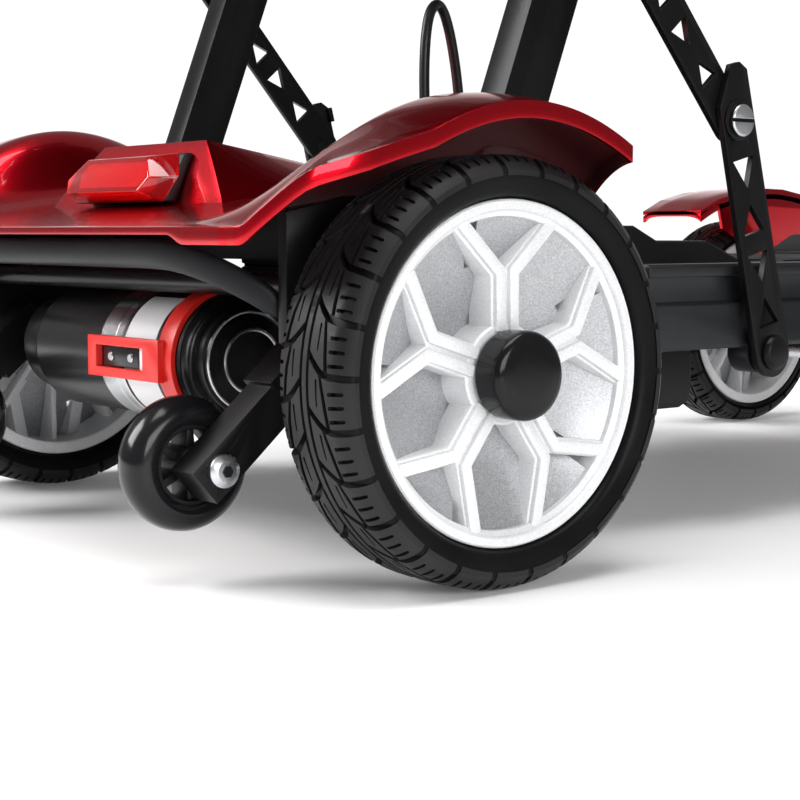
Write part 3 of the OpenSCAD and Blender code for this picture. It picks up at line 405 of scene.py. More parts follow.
flake = bpy.data.node_groups.new("metal_flake", "ShaderNodeTree")
flake.interface.new_socket("Scale", in_out="INPUT", socket_type="NodeSocketFloat")
flake.interface.new_socket("Flake", in_out="OUTPUT", socket_type="NodeSocketFloat")
inlet = flake.nodes.new("NodeGroupInput")
outlet = flake.nodes.new("NodeGroupOutput")
place = flake.nodes.new("ShaderNodeTexCoord")
cells = flake.nodes.new("ShaderNodeTexVoronoi")
flake.links.new(place.outputs["Object"], cells.inputs["Vector"])
flake.links.new(inlet.outputs["Scale"], cells.inputs["Scale"])
pick = flake.nodes.new("ShaderNodeSeparateColor")
flake.links.new(cells.outputs["Color"], pick.inputs["Color"])
flake.links.new(pick.outputs["Red"], outlet.inputs["Flake"])


def flaked(name, colours, rough, scale, relief, **fixed):
    """Paint or plastic with metal flakes in it: each cell has its own brightness and tilt."""
    made, specks = patterned(name, flake, {"Scale": scale})
    flakes = specks.outputs["Flake"]
    gloss = fade(made.node_tree, flakes, (0, 1, *rough))
    wire_up(made, flakes, colours, gloss, flakes, relief, fixed)
    return made


candy_red = flaked(
    "candy_red", ((0.52, 0.0009, 0.008), (0.62, 0.0024, 0.014)), (0.20, 0.25), 5000, 0.000001,
    metallic=0.95, coat_weight=0.6, coat_roughness=0.015, coat_ior=1.4, specular_ior_level=0.1,
)
raw_red_inside = finish(
    "raw_red_inside", ((0.075, 0.004, 0.006), (0.095, 0.006, 0.008)), (0.5, 0.62), relief=0.00008, grain=900
)


def ramp(t):
    return max(0.0, min(1.0, t))


def ease(t):
    return ramp(t) ** 2 * (3 - 2 * ramp(t))


def swell(t):
    return math.sin(math.pi / 2 * ramp(t))


def cover_height(x, y):
    """Top of the cover in mm."""
    a = abs(y)
    past = max(0, a - SHOULDER)
    low = SHELF + MIDDLE_RISE * swell((x - COVER_BACK) / MIDDLE_LENGTH)
    if x < CREST_X:
        turned_in = x + TURN_IN * past * ramp((TURN_IN_FROM - x) / TURN_IN_OVER)
        fender = SHELF + FENDER_RISE * swell((turned_in - FENDER_BACK) / (CREST_X - FENDER_BACK))
    else:
        fender = SHELF + FENDER_RISE - FENDER_FALL * ((x - CREST_X) / (FENDER_FRONT - CREST_X)) ** 2
    fender -= SHOULDER_DROP * (past / (COVER_HALF - SHOULDER)) ** 2 * ramp((x - COVER_BACK) / DROP_OVER)
    side = ease((a - FENDER_FOOT) / (SHOULDER - FENDER_FOOT))
    box = BOX_TOP - BOX_TILT * (x - BOX_BACK - BOX_RISE) - low
    box *= min(ramp((BOX_HALF - a) / BOX_SLOPE), ramp((x - BOX_BACK) / BOX_RISE))
    return low * (1 - side) + fender * side + box


def cover_reach(a):
    """Rear and front edge of the cover at a distance a from the middle."""
    back = COVER_BACK
    past = a - (COVER_HALF - CORNER)
    if past >= 0:
        back += CORNER - math.sqrt(max(0, CORNER**2 - past**2)) * CORNER_REACH
    if a < NOTCH_END:
        front = COVER_FRONT + (FENDER_FRONT - COVER_FRONT) * ease((a - NOTCH) / (NOTCH_END - NOTCH))
    else:
        front = FENDER_FRONT - FENDER_SWEEP * (a - NOTCH_END) / (COVER_HALF - NOTCH_END)
    return back, front


def face_out(piece, weld=0):
    """Merges points that are closer than weld, and turns all faces outwards."""
    ready(piece)
    bpy.ops.object.mode_set(mode="EDIT")
    bpy.ops.mesh.select_all(action="SELECT")
    if weld:
        bpy.ops.mesh.remove_doubles(threshold=weld)
    bpy.ops.mesh.normals_make_consistent(inside=False)
    bpy.ops.object.mode_set(mode="OBJECT")


def turn_down(piece, depth):
    """Turns down a lip all round the edge of a shell, and leaves the lip's points selected."""
    ready(piece)
    bpy.ops.object.mode_set(mode="EDIT")
    bpy.ops.mesh.select_all(action="SELECT")
    bpy.ops.mesh.region_to_loop()
    bpy.ops.mesh.extrude_edges_move(TRANSFORM_OT_translate={"value": (0, 0, -depth)})
    bpy.ops.object.mode_set(mode="OBJECT")


def thicken(piece, thickness, offset=-1, inner_finish=0):
    """Gives a shell its wall."""
    ready(piece)
    wall = piece.modifiers.new("wall", "SOLIDIFY")
    wall.thickness = thickness
    wall.offset = offset
    wall.material_offset = inner_finish
    bpy.ops.object.modifier_apply(modifier="wall")


def block(name, centre, size, width):
    """A rectangular block with broken edges: centre and size in mm."""
    bpy.ops.mesh.primitive_cube_add(size=1)
    piece = bpy.context.object
    piece.name = name
    for vertex in piece.data.vertices:
        vertex.co = [(middle + c * s) / 1000 for middle, s, c in zip(centre, size, vertex.co)]
    soften(piece, width)
    return piece


def belongs(piece, cloth, body, slot, *nodes):
    """Finish, body and CAD nodes of a new piece."""
    piece.data.materials.append(cloth)
    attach(piece, body)
    if nodes:
        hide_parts(*nodes)
    return piece


# The grid has rows and columns of its own on the slopes of the box, so its corners are mitred.
box_rows = [(BOX_BACK + BOX_RISE * i / 7 - COVER_BACK) / (COVER_FRONT - COVER_BACK) for i in range(8)]
rows = [0] + [0.03 + 0.0165 * i for i in range(23)] + box_rows + [0.515 + 0.0175 * i for i in range(27)] + [1]
box_columns = [BOX_HALF - BOX_SLOPE + BOX_SLOPE * i / 7 for i in range(8)]
half = [11, 22, 33, 44, 50] + box_columns + [96 + 3 * i for i in range(51)] + [COVER_HALF]
columns = [-y for y in half[::-1]] + [0] + half
bpy.ops.mesh.primitive_grid_add(x_subdivisions=len(rows) - 1, y_subdivisions=len(columns) - 1, size=2)
cover = bpy.context.object
cover.name = "rear_cover_shell"
for vertex in cover.data.vertices:
    row = round((vertex.co.x + 1) / 2 * (len(rows) - 1))
    y = columns[round((vertex.co.y + 1) / 2 * (len(columns) - 1))]
    back, front = cover_reach(abs(y))
    x = back + (front - back) * rows[row]
    vertex.co = ((AXLE_X + x) / 1000, y / 1000, cover_height(x, y) / 1000)
for way, split_by in ((1, "FIXED_ALTERNATE"), (-1, "FIXED")):
    ready(cover)
    bpy.ops.object.mode_set(mode="EDIT")
    bpy.ops.mesh.select_mode(type="FACE")
    bpy.ops.mesh.select_all(action="DESELECT")
    bpy.ops.object.mode_set(mode="OBJECT")
    for face in cover.data.polygons:
        x = face.center.x * 1000 - AXLE_X
        y = face.center.y * 1000 * way
        on_mitre = abs((BOX_HALF - y) / BOX_SLOPE - (x - BOX_BACK) / BOX_RISE) < 0.03
        face.select = on_mitre and BOX_HALF - BOX_SLOPE < y < BOX_HALF
    bpy.ops.object.mode_set(mode="EDIT")
    bpy.ops.mesh.quads_convert_to_tris(quad_method=split_by)
    bpy.ops.object.mode_set(mode="OBJECT")
turn_down(cover, LIP_DEEP)
for vertex in cover.data.vertices:
    if vertex.select and vertex.co.x * 1000 < AXLE_X + COVER_BACK + 1:
        vertex.co.z += LIP_RAISED * ease((LIP_RAISED_HALF - abs(vertex.co.y) * 1000) / LIP_BLEND)
face_out(cover)
cover.data.materials.append(candy_red)
cover.data.materials.append(raw_red_inside)
thicken(cover, 0.0026, inner_finish=1)
soften(cover, 0.0016, 3, angle=30)
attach(cover, "chassis")
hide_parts("rear_cover")
# Painted shade: a black sheet set in the gap below the cover, where there is only shade.
shade_sheet = block("rear_cover_painted_shade_sheet", (-318, 0, 171.5), (3, 280, 37), 0.0008)
belongs(shade_sheet, black_plastic, "chassis", "plastic_black")

# Bumper band
# A black rubber band on a bent strip, running across the back below the cover and
# down to the side plates on each side.
BAND_HALF = 7.4
BAND_DEEP = 4.6
BAND_DEEP_AT_ENDS = 3.4
BAND_STRAIGHT = 110
BAND_SECTION = [(-1, -0.9), (-0.75, -1), (0.55, -1), (1, -0.55), (1, 0.55), (0.55, 1), (-0.75, 1), (-1, 0.9)]
rubber_band = finish(
    "bumper_rubber", ((0.010, 0.011, 0.0125), (0.014, 0.015, 0.017)), (0.38, 0.50), relief=0.00004,
    grain=900, specular_ior_level=0.25,
)


def from_points(name, points, edges, faces):
    """A new piece from points in mm, and the edges or faces between them."""
    mesh = bpy.data.meshes.new(name)
    mesh.from_pydata([[c / 1000 for c in point] for point in points], edges, faces)
    piece = bpy.data.objects.new(name, mesh)
    bpy.context.collection.objects.link(piece)
    return piece


def tube_faces(rings, count):
    """Faces of a closed tube through rings of count points each, with its two ends."""
    faces = [tuple(range(count)), tuple(range((rings - 1) * count, rings * count))]
    for start in range(0, (rings - 1) * count, count):
        for k in range(count):
            beside = (k + 1) % count
            faces.append((start + k, start + beside, start + count + beside, start + count + k))
    return faces


band_line = [
    (-433, 0, 158), (-433, 60, 158), (-433, 100, 158), (-432, 116, 157), (-428, 132, 153.5), (-420, 148, 147),
    (-410, 159, 139), (-402, 166, 132),
]
band_line = [(x, -y, z) for x, y, z in band_line[:0:-1]] + band_line
band_points = []
for i, point in enumerate(band_line):
    here = Vector(point)
    ahead = Vector(band_line[min(i + 1, len(band_line) - 1)]) - Vector(band_line[max(i - 1, 0)])
    out = Vector((-ahead.y, ahead.x, 0)).normalized()
    deep = BAND_DEEP if abs(here.y) < BAND_STRAIGHT else BAND_DEEP_AT_ENDS
    band_points += [here + out * deep * a + Vector((0, 0, BAND_HALF * b)) for a, b in BAND_SECTION]
bumper = from_points("bumper_band_rubber", band_points, [], tube_faces(len(band_line), len(BAND_SECTION)))
face_out(bumper)
round_off = bumper.modifiers.new("round_off", "SUBSURF")
round_off.levels = round_off.render_levels = 2
bpy.ops.object.modifier_apply(modifier="round_off")
soften(bumper, 0, smooth=50)
belongs(bumper, rubber_band, "chassis", "plastic_black", "bumper_band")

# Tail light
# A black housing let into the raised box, with a faceted red acrylic lens on it and
# a moulded light guide with its bright core behind the lens.
LAMP_Z = 197.5
GUIDE_BACK = -64.6
GUIDE_FRONT = -66
GUIDE_LEAN = 0.54
dressed("tail_light_housing", black_plastic, 0.0012, 3)
red_lens = finish(
    "red_acrylic", ((0.62, 0.006, 0.010), (0.68, 0.009, 0.013)), (0.03, 0.05), relief=0.000003,
    transmission_weight=0.6, ior=1.49, coat_weight=0.5,
)


def six_sided(name, loops, cloth):
    """A faceted block through loops of (x, half width, z) in mm, from the rear axle and the lamp's middle."""
    points = []
    for loop in loops:
        points += [(AXLE_X + x, w, LAMP_Z + z) for x, w, z in loop]
        points += [(AXLE_X + x, -w, LAMP_Z + z) for x, w, z in loop[::-1]]
    piece = from_points(name, points, [], tube_faces(len(loops), 2 * len(loops[0])))
    face_out(piece)
    soften(piece, 0.0008, 3, angle=15)
    piece.data.materials.append(cloth)
    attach(piece, "chassis")
    return piece


lens_foot = ((-54.5, 42, 13), (-61.5, 53, 0), (-68.5, 48, -13))
lens_face = ((-69.5, 32, 11), (-75.44, 45, 0), (-79.49, 39, -7.5))
lens = six_sided("tail_light_cover", (lens_foot, lens_face), red_lens)
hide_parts("tail_light_lens")
guide_red = finish(
    "light_guide", ((0.80, 0.03, 0.03), (0.9, 0.06, 0.05)), (0.2, 0.3), emission_strength=0.35,
    emission_color=(1, 0.06, 0.04, 1),
)
for name, wide, tall, depth in (("tail_light_guide", 36, 6.4, 1.0), ("tail_light_core", 27, 4.2, 2.2)):
    lean = GUIDE_LEAN * tall
    tip = GUIDE_FRONT - depth
    foot = ((GUIDE_BACK - lean, wide - 5, tall), (GUIDE_BACK, wide, 0), (GUIDE_BACK + lean, wide - 4, -tall))
    face = ((tip - lean + 6, wide - 5, tall), (tip, wide, 0), (tip - 5, wide - 4, -tall))
    guide = six_sided(name, (foot, face), guide_red)

# Motor
# A black enamelled can with a polished band round its middle and a bare pale plate
# stuck beside it; the open end has a turned cap with two bright rings.
MOTOR = Vector((-374, 0, 102))
PLATE_R = 35.15
PLATE_TURN = 178
PLATE_SPAN = 124
PLATE_Y = -40
PLATE_WIDE = 32
enamel = finish(
    "motor_enamel", ((0.005, 0.005, 0.0055), (0.009, 0.009, 0.0095)), (0.20, 0.28), patch=9,
    specular_ior_level=0.4,
)


def turned(name, profile, centre=(0, 0, 0), steps=96):
    """A piece turned on a lathe about an axle along Y: profile of (radius, y) in mm, centre in mm."""
    edges = [(i, i + 1) for i in range(len(profile) - 1)]
    piece = from_points(name, [(r, y, 0) for r, y in profile], edges, [])
    ready(piece)
    bpy.ops.object.mode_set(mode="EDIT")
    bpy.ops.mesh.select_all(action="SELECT")
    bpy.ops.mesh.spin(steps=steps, angle=2 * math.pi, center=(0, 0, 0), axis=(0, 1, 0))
    bpy.ops.object.mode_set(mode="OBJECT")
    face_out(piece, 0.00001)
    piece.data.transform(Matrix.Translation(Vector(centre) / 1000))
    soften(piece, 0, smooth=32)
    return piece


def from_axle(point, axle):
    """How far a point lies from an axle along Y."""
    return math.hypot(point.x - axle.x, point.z - axle.z)


def on_bright_ring(c):
    """The two raised rings on the motor's end disc."""
    inner = abs(from_axle(c, MOTOR) - 16.5) < 0.75 and c.y < -96.5
    outer = abs(from_axle(c, MOTOR) - 25.4) < 0.75 and c.y < -93.9
    return inner or outer


can = turned(
    "motor_can",
    [
        (0, -86), (30, -86), (31, -85.5), (31, -83), (32.5, -82.4), (33.6, -81.2), (33.6, -79.5), (35, -79),
        (35, -64), (34.5, -63.6), (34.5, -62.6), (35, -62.2), (35, 78), (34.6, 80), (33.4, 81.4), (32, 82),
        (32, 84), (31, 86), (0, 86),
    ],
    MOTOR,
)
belongs(can, enamel, "chassis", "motor_black", "motor_body")
hoop = turned(
    "motor_hoop",
    [
        (34.6, -22), (35.6, -22), (36.2, -21.4), (36.2, -15), (35.8, -14.6), (35.8, -14), (36.2, -13.6),
        (36.2, 1.4), (35.6, 2), (34.6, 2),
    ],
    MOTOR,
)
belongs(hoop, bright_metal, "chassis", "bright_aluminium", "motor_band")
end_disc = turned(
    "motor_end_disc",
    [
        (0, -96.4), (15.6, -96.4), (16.2, -97), (16.8, -97), (17.4, -96.4), (17.6, -95.4), (24.6, -93.6),
        (25, -94.4), (25.7, -94.6), (26.2, -94), (26.4, -92.6), (27.6, -92.2), (28, -91.6), (28, -86),
        (0, -86),
    ],
    MOTOR,
)
belongs(end_disc, enamel, "chassis", "motor_black", "motor_end_cap")
part_finish(end_disc, steel, on_bright_ring)

label_white = finish(
    "bare_plate", ((0.72, 0.73, 0.74), (0.80, 0.80, 0.81)), (0.28, 0.38), relief=0.00001, metallic=0.15
)
bpy.ops.mesh.primitive_grid_add(x_subdivisions=40, y_subdivisions=6, size=1)
plate = bpy.context.object
plate.name = "motor_bare_plate"
for vertex in plate.data.vertices:
    turn = math.radians(PLATE_TURN + PLATE_SPAN * vertex.co.x)
    round_the_can = Vector((math.cos(turn), 0, math.sin(turn))) * PLATE_R
    vertex.co = (MOTOR + round_the_can + Vector((0, PLATE_Y + PLATE_WIDE * vertex.co.y, 0))) / 1000
thicken(plate, 0.0003, offset=0)
soften(plate, 0, smooth=40)
belongs(plate, label_white, "chassis", "bright_aluminium")
dressed("gearbox_case", frame_black, 0.002, 3)

# Freewheel lever
# A red nylon ring that turns on the motor can, with a window in its handle; a black
# spring plate held by two bright rivets sits in the window, beside a pale edge.
WINDOW_Z = 102
RIVET_X = -413.6
lever_red = finish("red_nylon", ((0.62, 0.012, 0.008), (0.72, 0.018, 0.012)), (0.30, 0.42), grain=1200)
dressed("freewheel_lever", lever_red, 0.0013, 3)
spring = block("lever_window_plate", (-411.9, -27, WINDOW_Z), (1.4, 38, 10.8), 0.0006)
belongs(spring, enamel, "freewheel", "lever_red")
edge = block("lever_window_edge", (-411.7, -50.3, WINDOW_Z), (1.4, 7.8, 12.4), 0.0006)
belongs(edge, label_white, "freewheel", "lever_red")
for i, y in enumerate((-38, -17)):
    rivet = turned("lever_rivet_%d" % i, [(0, 0), (2.0, 0), (2.6, 0.6), (2.6, 1.4), (0, 1.4)], steps=24)
    on_spring = Matrix.Translation(Vector((RIVET_X, y, WINDOW_Z)) / 1000)
    rivet.data.transform(on_spring @ Matrix.Rotation(math.radians(-90), 4, "Z"))
    belongs(rivet, steel, "freewheel", "steel")

# Anti-tip wheels
# Square steel tube arms on stubs of the side plates, each with a bright socket-head
# bolt that carries a small black polyurethane wheel on a spoked nylon core.
ANTI_TIP = Vector((-438, 0, 58))
ANTI_TIP_Y = 132
BOLT_R = 9
BOLT_HEAD_Y = 167.1
BOLT_END_Y = 120.3
SOCKET_Y = 171.6
SIDES = (("right", -1), ("left", 1))


def on_bolt(c):
    """The ends of the bolt that stand out of the arm."""
    return from_axle(c, ANTI_TIP) < BOLT_R and (abs(c.y) > BOLT_HEAD_Y or abs(c.y) < BOLT_END_Y)


arms = dressed("anti_tip_arms", frame_black, 0.0013, 3)
part_finish(arms, steel, on_bolt)
castor_rubber = finish(
    "castor_polyurethane", ((0.005, 0.005, 0.006), (0.009, 0.009, 0.010)), (0.12, 0.20), relief=0.000008,
    patch=20, specular_ior_level=0.3,
)
for word, side in SIDES:
    middle = ANTI_TIP + Vector((0, side * ANTI_TIP_Y, 0))
    body = "anti_tip_" + word
    tyre = turned(
        "anti_tip_tyre_" + word,
        [
            (19.5, -10.5), (21, -11.4), (24.5, -11.8), (28, -10.9), (30.8, -8.4), (32.5, -4.6), (33, 0),
            (32.5, 4.6), (30.8, 8.4), (28, 10.9), (24.5, 11.8), (21, 11.4), (19.5, 10.5), (19, 8), (19, -8),
            (19.5, -10.5),
        ],
        middle,
    )
    belongs(tyre, castor_rubber, body, "wheel_pu", "anti_tip_wheel_" + word)
    core = turned(
        "anti_tip_core_" + word,
        [(19.4, -9.5), (19.4, 9.5), (17.6, 9.5), (17, 8.5), (17, -8.5), (17.6, -9.5), (19.4, -9.5)],
        middle,
    )
    belongs(core, black_plastic, body, "wheel_pu")
    hub = turned(
        "anti_tip_hub_" + word,
        [(4.1, -12), (8.4, -12), (9, -11.4), (9, 11.4), (8.4, 12), (4.1, 12), (4.1, -12)],
        middle,
    )
    belongs(hub, black_plastic, body, "wheel_pu")
    for k in range(6):
        bpy.ops.mesh.primitive_cube_add(size=1)
        spoke = bpy.context.object
        spoke.name = "anti_tip_spoke_%s_%d" % (word, k)
        for vertex in spoke.data.vertices:
            wide = 3.6 if vertex.co.z > 0 else 5.2
            vertex.co = Vector((wide * vertex.co.x, 15 * vertex.co.y, 13.2 + 9.4 * vertex.co.z)) / 1000
        turn = Matrix.Rotation(math.radians(60 * k), 4, "Y")
        spoke.data.transform(Matrix.Translation(middle / 1000) @ turn)
        soften(spoke, 0.0007)
        belongs(spoke, black_plastic, body, "wheel_pu")
    bolt_end = ANTI_TIP + Vector((0, side * SOCKET_Y, 0))
    socket = turned("anti_tip_socket_" + word, [(0, 0.5), (3.0, 0.5), (3.0, -1.2), (0, -1.2)], bolt_end, 6)
    belongs(socket, enamel, "chassis", "steel")

# Wheels
# Flat-free rubber tyres with a directional tread: a rib round the middle, slanting
# blocks with a slit in each and short slots over the shoulder. The rims are moulded
# in sparkling white nylon with five forked spokes, and a black cap covers the hub.
REAR_Y = 224.5
REAR_R = 102.5
REAR_HALF = 27
REAR_LIP = 81.5
REAR_HUB = 24
REAR_PITCHES = 26
FRONT_X = 341
FRONT_Y = 205
FRONT_R = 89
FRONT_HALF = 24
FRONT_LIP = 73
FRONT_HUB = 21
FRONT_PITCHES = 24
RIM_FACE = 22.5
BEAD_HALF = 19
SLANT_LINE = [(3.4, -0.6), (7, 3.2), (10, 5.8), (13, 7.6), (17, 8.8), (24, 9.4), (28, 9.5)]
SLOT = [(16.8, -0.6), (17.4, -0.9), (23.6, -0.9), (24.2, 0), (23.6, 0.9), (17.4, 0.9), (16.8, 0.6)]
RIDGE = [(1.4, 20), (1.4, 49.4), (25.6, 72.6), (30.2, 68.2), (7.0, 46.4), (7.0, 20)]
ROOT_SIDE = [(8.2, 18), (8.2, 45.8), (31.2, 67.3), (25.4, 73.6)]
ROOT = ROOT_SIDE + [(0, 49)] + [(-x, z) for x, z in ROOT_SIDE[::-1]]
DISH_STEPS = 120
TREAD_EDGE = 16
TREAD_ROUND = 0.3
TREAD_WIDE = 14
EDGE_ROUND = 5.8
EDGE_WIDE = 10.6
EDGE_CURVE = 2.2
GROOVE_DEEP = 3.2
GROOVE_DEEP_AT_EDGE = 2.6

tyre_rubber = finish(
    "tyre_rubber", ((0.003, 0.003, 0.0035), (0.006, 0.006, 0.0065)), (0.34, 0.46), relief=0.00004, patch=25,
    grain=900, specular_ior_level=0.09,
)
# The tread is the sidewall's rubber painted a lighter black: the lighter colour is a painted highlight on the
# block tops.
tread_rubber_painted_highlight = finish(
    "tread_rubber_painted_highlight", ((0.007, 0.007, 0.0075), (0.012, 0.012, 0.0125)), (0.38, 0.50), relief=0.00005, patch=25,
    grain=900, specular_ior_level=0.3,
)
rim_white = flaked(
    "sparkle_white", ((0.68, 0.69, 0.705), (0.86, 0.865, 0.87)), (0.28, 0.42), 2600, 0.00001, metallic=0.1
)
rim_silver = flaked(
    "sparkle_silver", ((0.33, 0.335, 0.35), (0.56, 0.565, 0.58)), (0.28, 0.42), 2300, 0.00002, metallic=0.55
)
cap_black = finish(
    "satin_cap", ((0.005, 0.005, 0.0055), (0.008, 0.008, 0.0085)), (0.12, 0.18), relief=0.000006, patch=30,
    specular_ior_level=0.22,
)


def slant(y):
    """How far round the tyre the slanting groove has run at y mm from the middle."""
    for (y0, s0), (y1, s1) in zip(SLANT_LINE, SLANT_LINE[1:]):
        if y <= y1:
            return s0 + (s1 - s0) * (y - y0) / (y1 - y0)
    return SLANT_LINE[-1][1]


def tread_outlines(pitch):
    """Outlines of (y, way round) for one pitch of the tread: the rib, the blocks and the cuts in them."""

    def groove(y):
        return 2.1 if y < 13 else 1.7

    def low(y):
        return slant(y) + groove(y)

    def top(y):
        return slant(y) + pitch - groove(y)

    notch = low(11) + 10
    inner = [(y, low(y)) for y in (3.5, 5, 7, 9, 10.6)] + [(12.6, notch)]
    inner += [(y, top(y)) for y in (14.2, 13, 10, 7, 5, 3.5)]
    slit = [(8.2, low(8.2) + 3.4)]
    slit += [(y, low(9) + s) for y, s in ((9.6, 3.4), (9.4, 15), (8.9, 15.6), (8.5, 15))]
    outer = [(y, low(y)) for y in (12.8, 14, 17, 20, 24, 27.2)]
    outer += [(y, top(y)) for y in (27.2, 24, 20, 16.8)] + [(15, notch)]
    slots = [[(y, low(20) + start + s) for y, s in SLOT] for start in (5.6, 11.8, 18.0)]
    outlines = [[(-1.5, 0), (1.5, 0), (1.5, pitch), (-1.5, pitch)]]
    for way, shift in ((1, 0), (-1, pitch / 2)):
        for shape in (inner, slit, outer, *slots):
            outlines.append([(way * y, s + shift) for y, s in shape])
    return outlines


def tread(name, radius, half, pitches):
    """All the raised blocks of a tread, cut flat for one pitch and then wrapped round the tyre."""
    pitch = 2 * math.pi * radius / pitches
    points = []
    edges = []
    for loop in tread_outlines(pitch):
        base = len(points)
        points += [(y, s, 0.0) for y, s in loop]
        edges += [(base + i, base + (i + 1) % len(loop)) for i in range(len(loop))]
    mesh = bpy.data.meshes.new(name)
    mesh.from_pydata(points, edges, [])
    piece = bpy.data.objects.new(name, mesh)
    bpy.context.collection.objects.link(piece)
    ready(piece)
    bpy.ops.object.mode_set(mode="EDIT")
    bpy.ops.mesh.select_all(action="SELECT")
    bpy.ops.mesh.fill(use_beauty=True)
    bpy.ops.mesh.dissolve_limited(angle_limit=0.01)
    for y in (19, 21.5, 24.5, 26):
        for way in (1, -1):
            bpy.ops.mesh.select_all(action="SELECT")
            bpy.ops.mesh.bisect(plane_co=(way * y, 0, 0), plane_no=(1, 0, 0))
    for q in range(1, 8):
        bpy.ops.mesh.select_all(action="SELECT")
        bpy.ops.mesh.bisect(plane_co=(0, pitch * q / 4, 0), plane_no=(0, 1, 0))
    bpy.ops.mesh.select_all(action="SELECT")
    bpy.ops.mesh.extrude_region_move(TRANSFORM_OT_translate={"value": (0, 0, -1)})
    bpy.ops.object.mode_set(mode="OBJECT")
    face_out(piece)
    flat = [v.co.copy() for v in mesh.vertices]
    faces = [tuple(f.vertices) for f in mesh.polygons]
    narrow = half / REAR_HALF
    wrapped = []
    all_faces = []
    for n in range(pitches):
        base = len(wrapped)
        for p in flat:
            y = abs(p.x)
            middle_drop = TREAD_ROUND * (y / TREAD_WIDE) ** 2
            edge_drop = EDGE_ROUND * max(0, (y - TREAD_EDGE) / EDGE_WIDE) ** EDGE_CURVE
            deep = GROOVE_DEEP if y < TREAD_EDGE else GROOVE_DEEP_AT_EDGE
            reach = radius - middle_drop - edge_drop + p.z * deep
            turn = (p.y + n * pitch) / radius
            at = (reach * math.sin(turn), p.x * narrow, reach * math.cos(turn))
            wrapped.append([c / 1000 for c in at])
        all_faces += [tuple(base + i for i in f) for f in faces]
    mesh.clear_geometry()
    mesh.from_pydata(wrapped, [], all_faces)
    face_out(piece, 0.000004)
    soften(piece, 0, smooth=30)
    return piece


def drawn(name, outline, low, high, width):
    """A plate cut to an outline of (x, z) in mm and thickened along Y, with broken edges."""
    piece = from_points(name, [(x, low, z) for x, z in outline], [], [tuple(range(len(outline)))])
    ready(piece)
    bpy.ops.object.mode_set(mode="EDIT")
    bpy.ops.mesh.select_all(action="SELECT")
    bpy.ops.mesh.extrude_region_move(TRANSFORM_OT_translate={"value": (0, (high - low) / 1000, 0)})
    bpy.ops.object.mode_set(mode="OBJECT")
    face_out(piece)
    soften(piece, width)
    return piece


def joined(name, pieces):
    """Several pieces moulded as one."""
    bpy.ops.object.select_all(action="DESELECT")
    for piece in pieces:
        piece.select_set(True)
    bpy.context.view_layer.objects.active = pieces[0]
    bpy.ops.object.join()
    pieces[0].name = name
    return pieces[0]


def facing_out(centre, side):
    """Puts a piece drawn facing +Y on an axle in mm, turned half round on the right."""
    return Matrix.Translation(Vector(centre) / 1000) @ Matrix.Rotation(0 if side > 0 else math.pi, 4, "Z")


def tyre_wall(radius, half, lip):
    """Profile of one side of the carcass, from the bead to the middle of the tread."""
    middle = (radius + lip) / 2
    return [
        (lip - 4.5, BEAD_HALF), (lip + 0.2, BEAD_HALF), (lip + 0.9, 20.4), (lip + 1.2, 22.6),
        (lip + 2.6, 24.4), (lip + 4.6, half - 1.7), (middle - 2, half - 0.7), (middle + 1.5, half - 0.2),
        (radius - 7.4, half - 0.4), (radius - 6.4, half - 1.2), (radius - 5.2, half - 3.4),
        (radius - 3.9, half - 6), (radius - 3.1, half - 11), (radius - 3.0, 0),
    ]


def white_rim(lip, hub, well):
    """Barrel, boss, forked spokes and inner stiffeners of a rim, as pieces to be joined."""
    face = RIM_FACE
    scale = lip / REAR_LIP
    barrel = [
        (well, -face + 0.6), (well + 0.8, -face), (lip - 0.8, -face), (lip, -face + 0.8), (lip, -BEAD_HALF),
        (lip - 4.5, -BEAD_HALF), (lip - 4.5, BEAD_HALF), (lip, BEAD_HALF), (lip, face - 0.8),
        (lip - 0.8, face), (lip - 4.4, face), (lip - 5.1, face - 0.7), (lip - 5.5, face - 2.4),
        (lip - 6.6, face - 3.1),
        (well + 0.2, face - 4.2), (well, face - 9), (well, -face + 0.6),
    ]
    boss = [
        (8.5, -face + 4), (hub - 1, -face + 4), (hub, -face + 5), (hub, face - 5.6), (hub - 1, face - 4.6),
        (8.5, face - 4.6), (8.5, -face + 4),
    ]
    moulded = [turned("barrel", barrel, steps=128), turned("boss", boss, steps=64)]
    for i in range(5):
        root = [(x * scale, z * scale) for x, z in ROOT]
        limbs = [drawn("root", root, face - 22, face - 5.4, 0.0009)]
        for way in (1, -1):
            ridge = [(way * x * scale, z * scale) for x, z in RIDGE]
            limbs.append(drawn("ridge", ridge, face - 8, face - 2.6, 0.0009))
        for limb in limbs:
            limb.data.transform(Matrix.Rotation(math.radians(72 * i), 4, "Y"))
        moulded += limbs
    web = [
        (hub - 1, -9), (lip - 5, -9), (lip - 5, 11.5), (64 * scale, 7.6), (52 * scale, 3.4),
        (38 * scale, 0), (hub + 8 * scale, -2.2), (hub - 1, -3.6),
    ]
    stand_up = Matrix(((0, 1, 0, 0), (0, 0, 1, 0), (1, 0, 0, 0), (0, 0, 0, 1)))
    for i in range(10):
        stiffener = drawn("stiffener", web, -1.8, 1.8, 0.0006)
        stiffener.data.transform(Matrix.Rotation(math.radians(36 * i), 4, "Y") @ stand_up)
        moulded.append(stiffener)
    return moulded


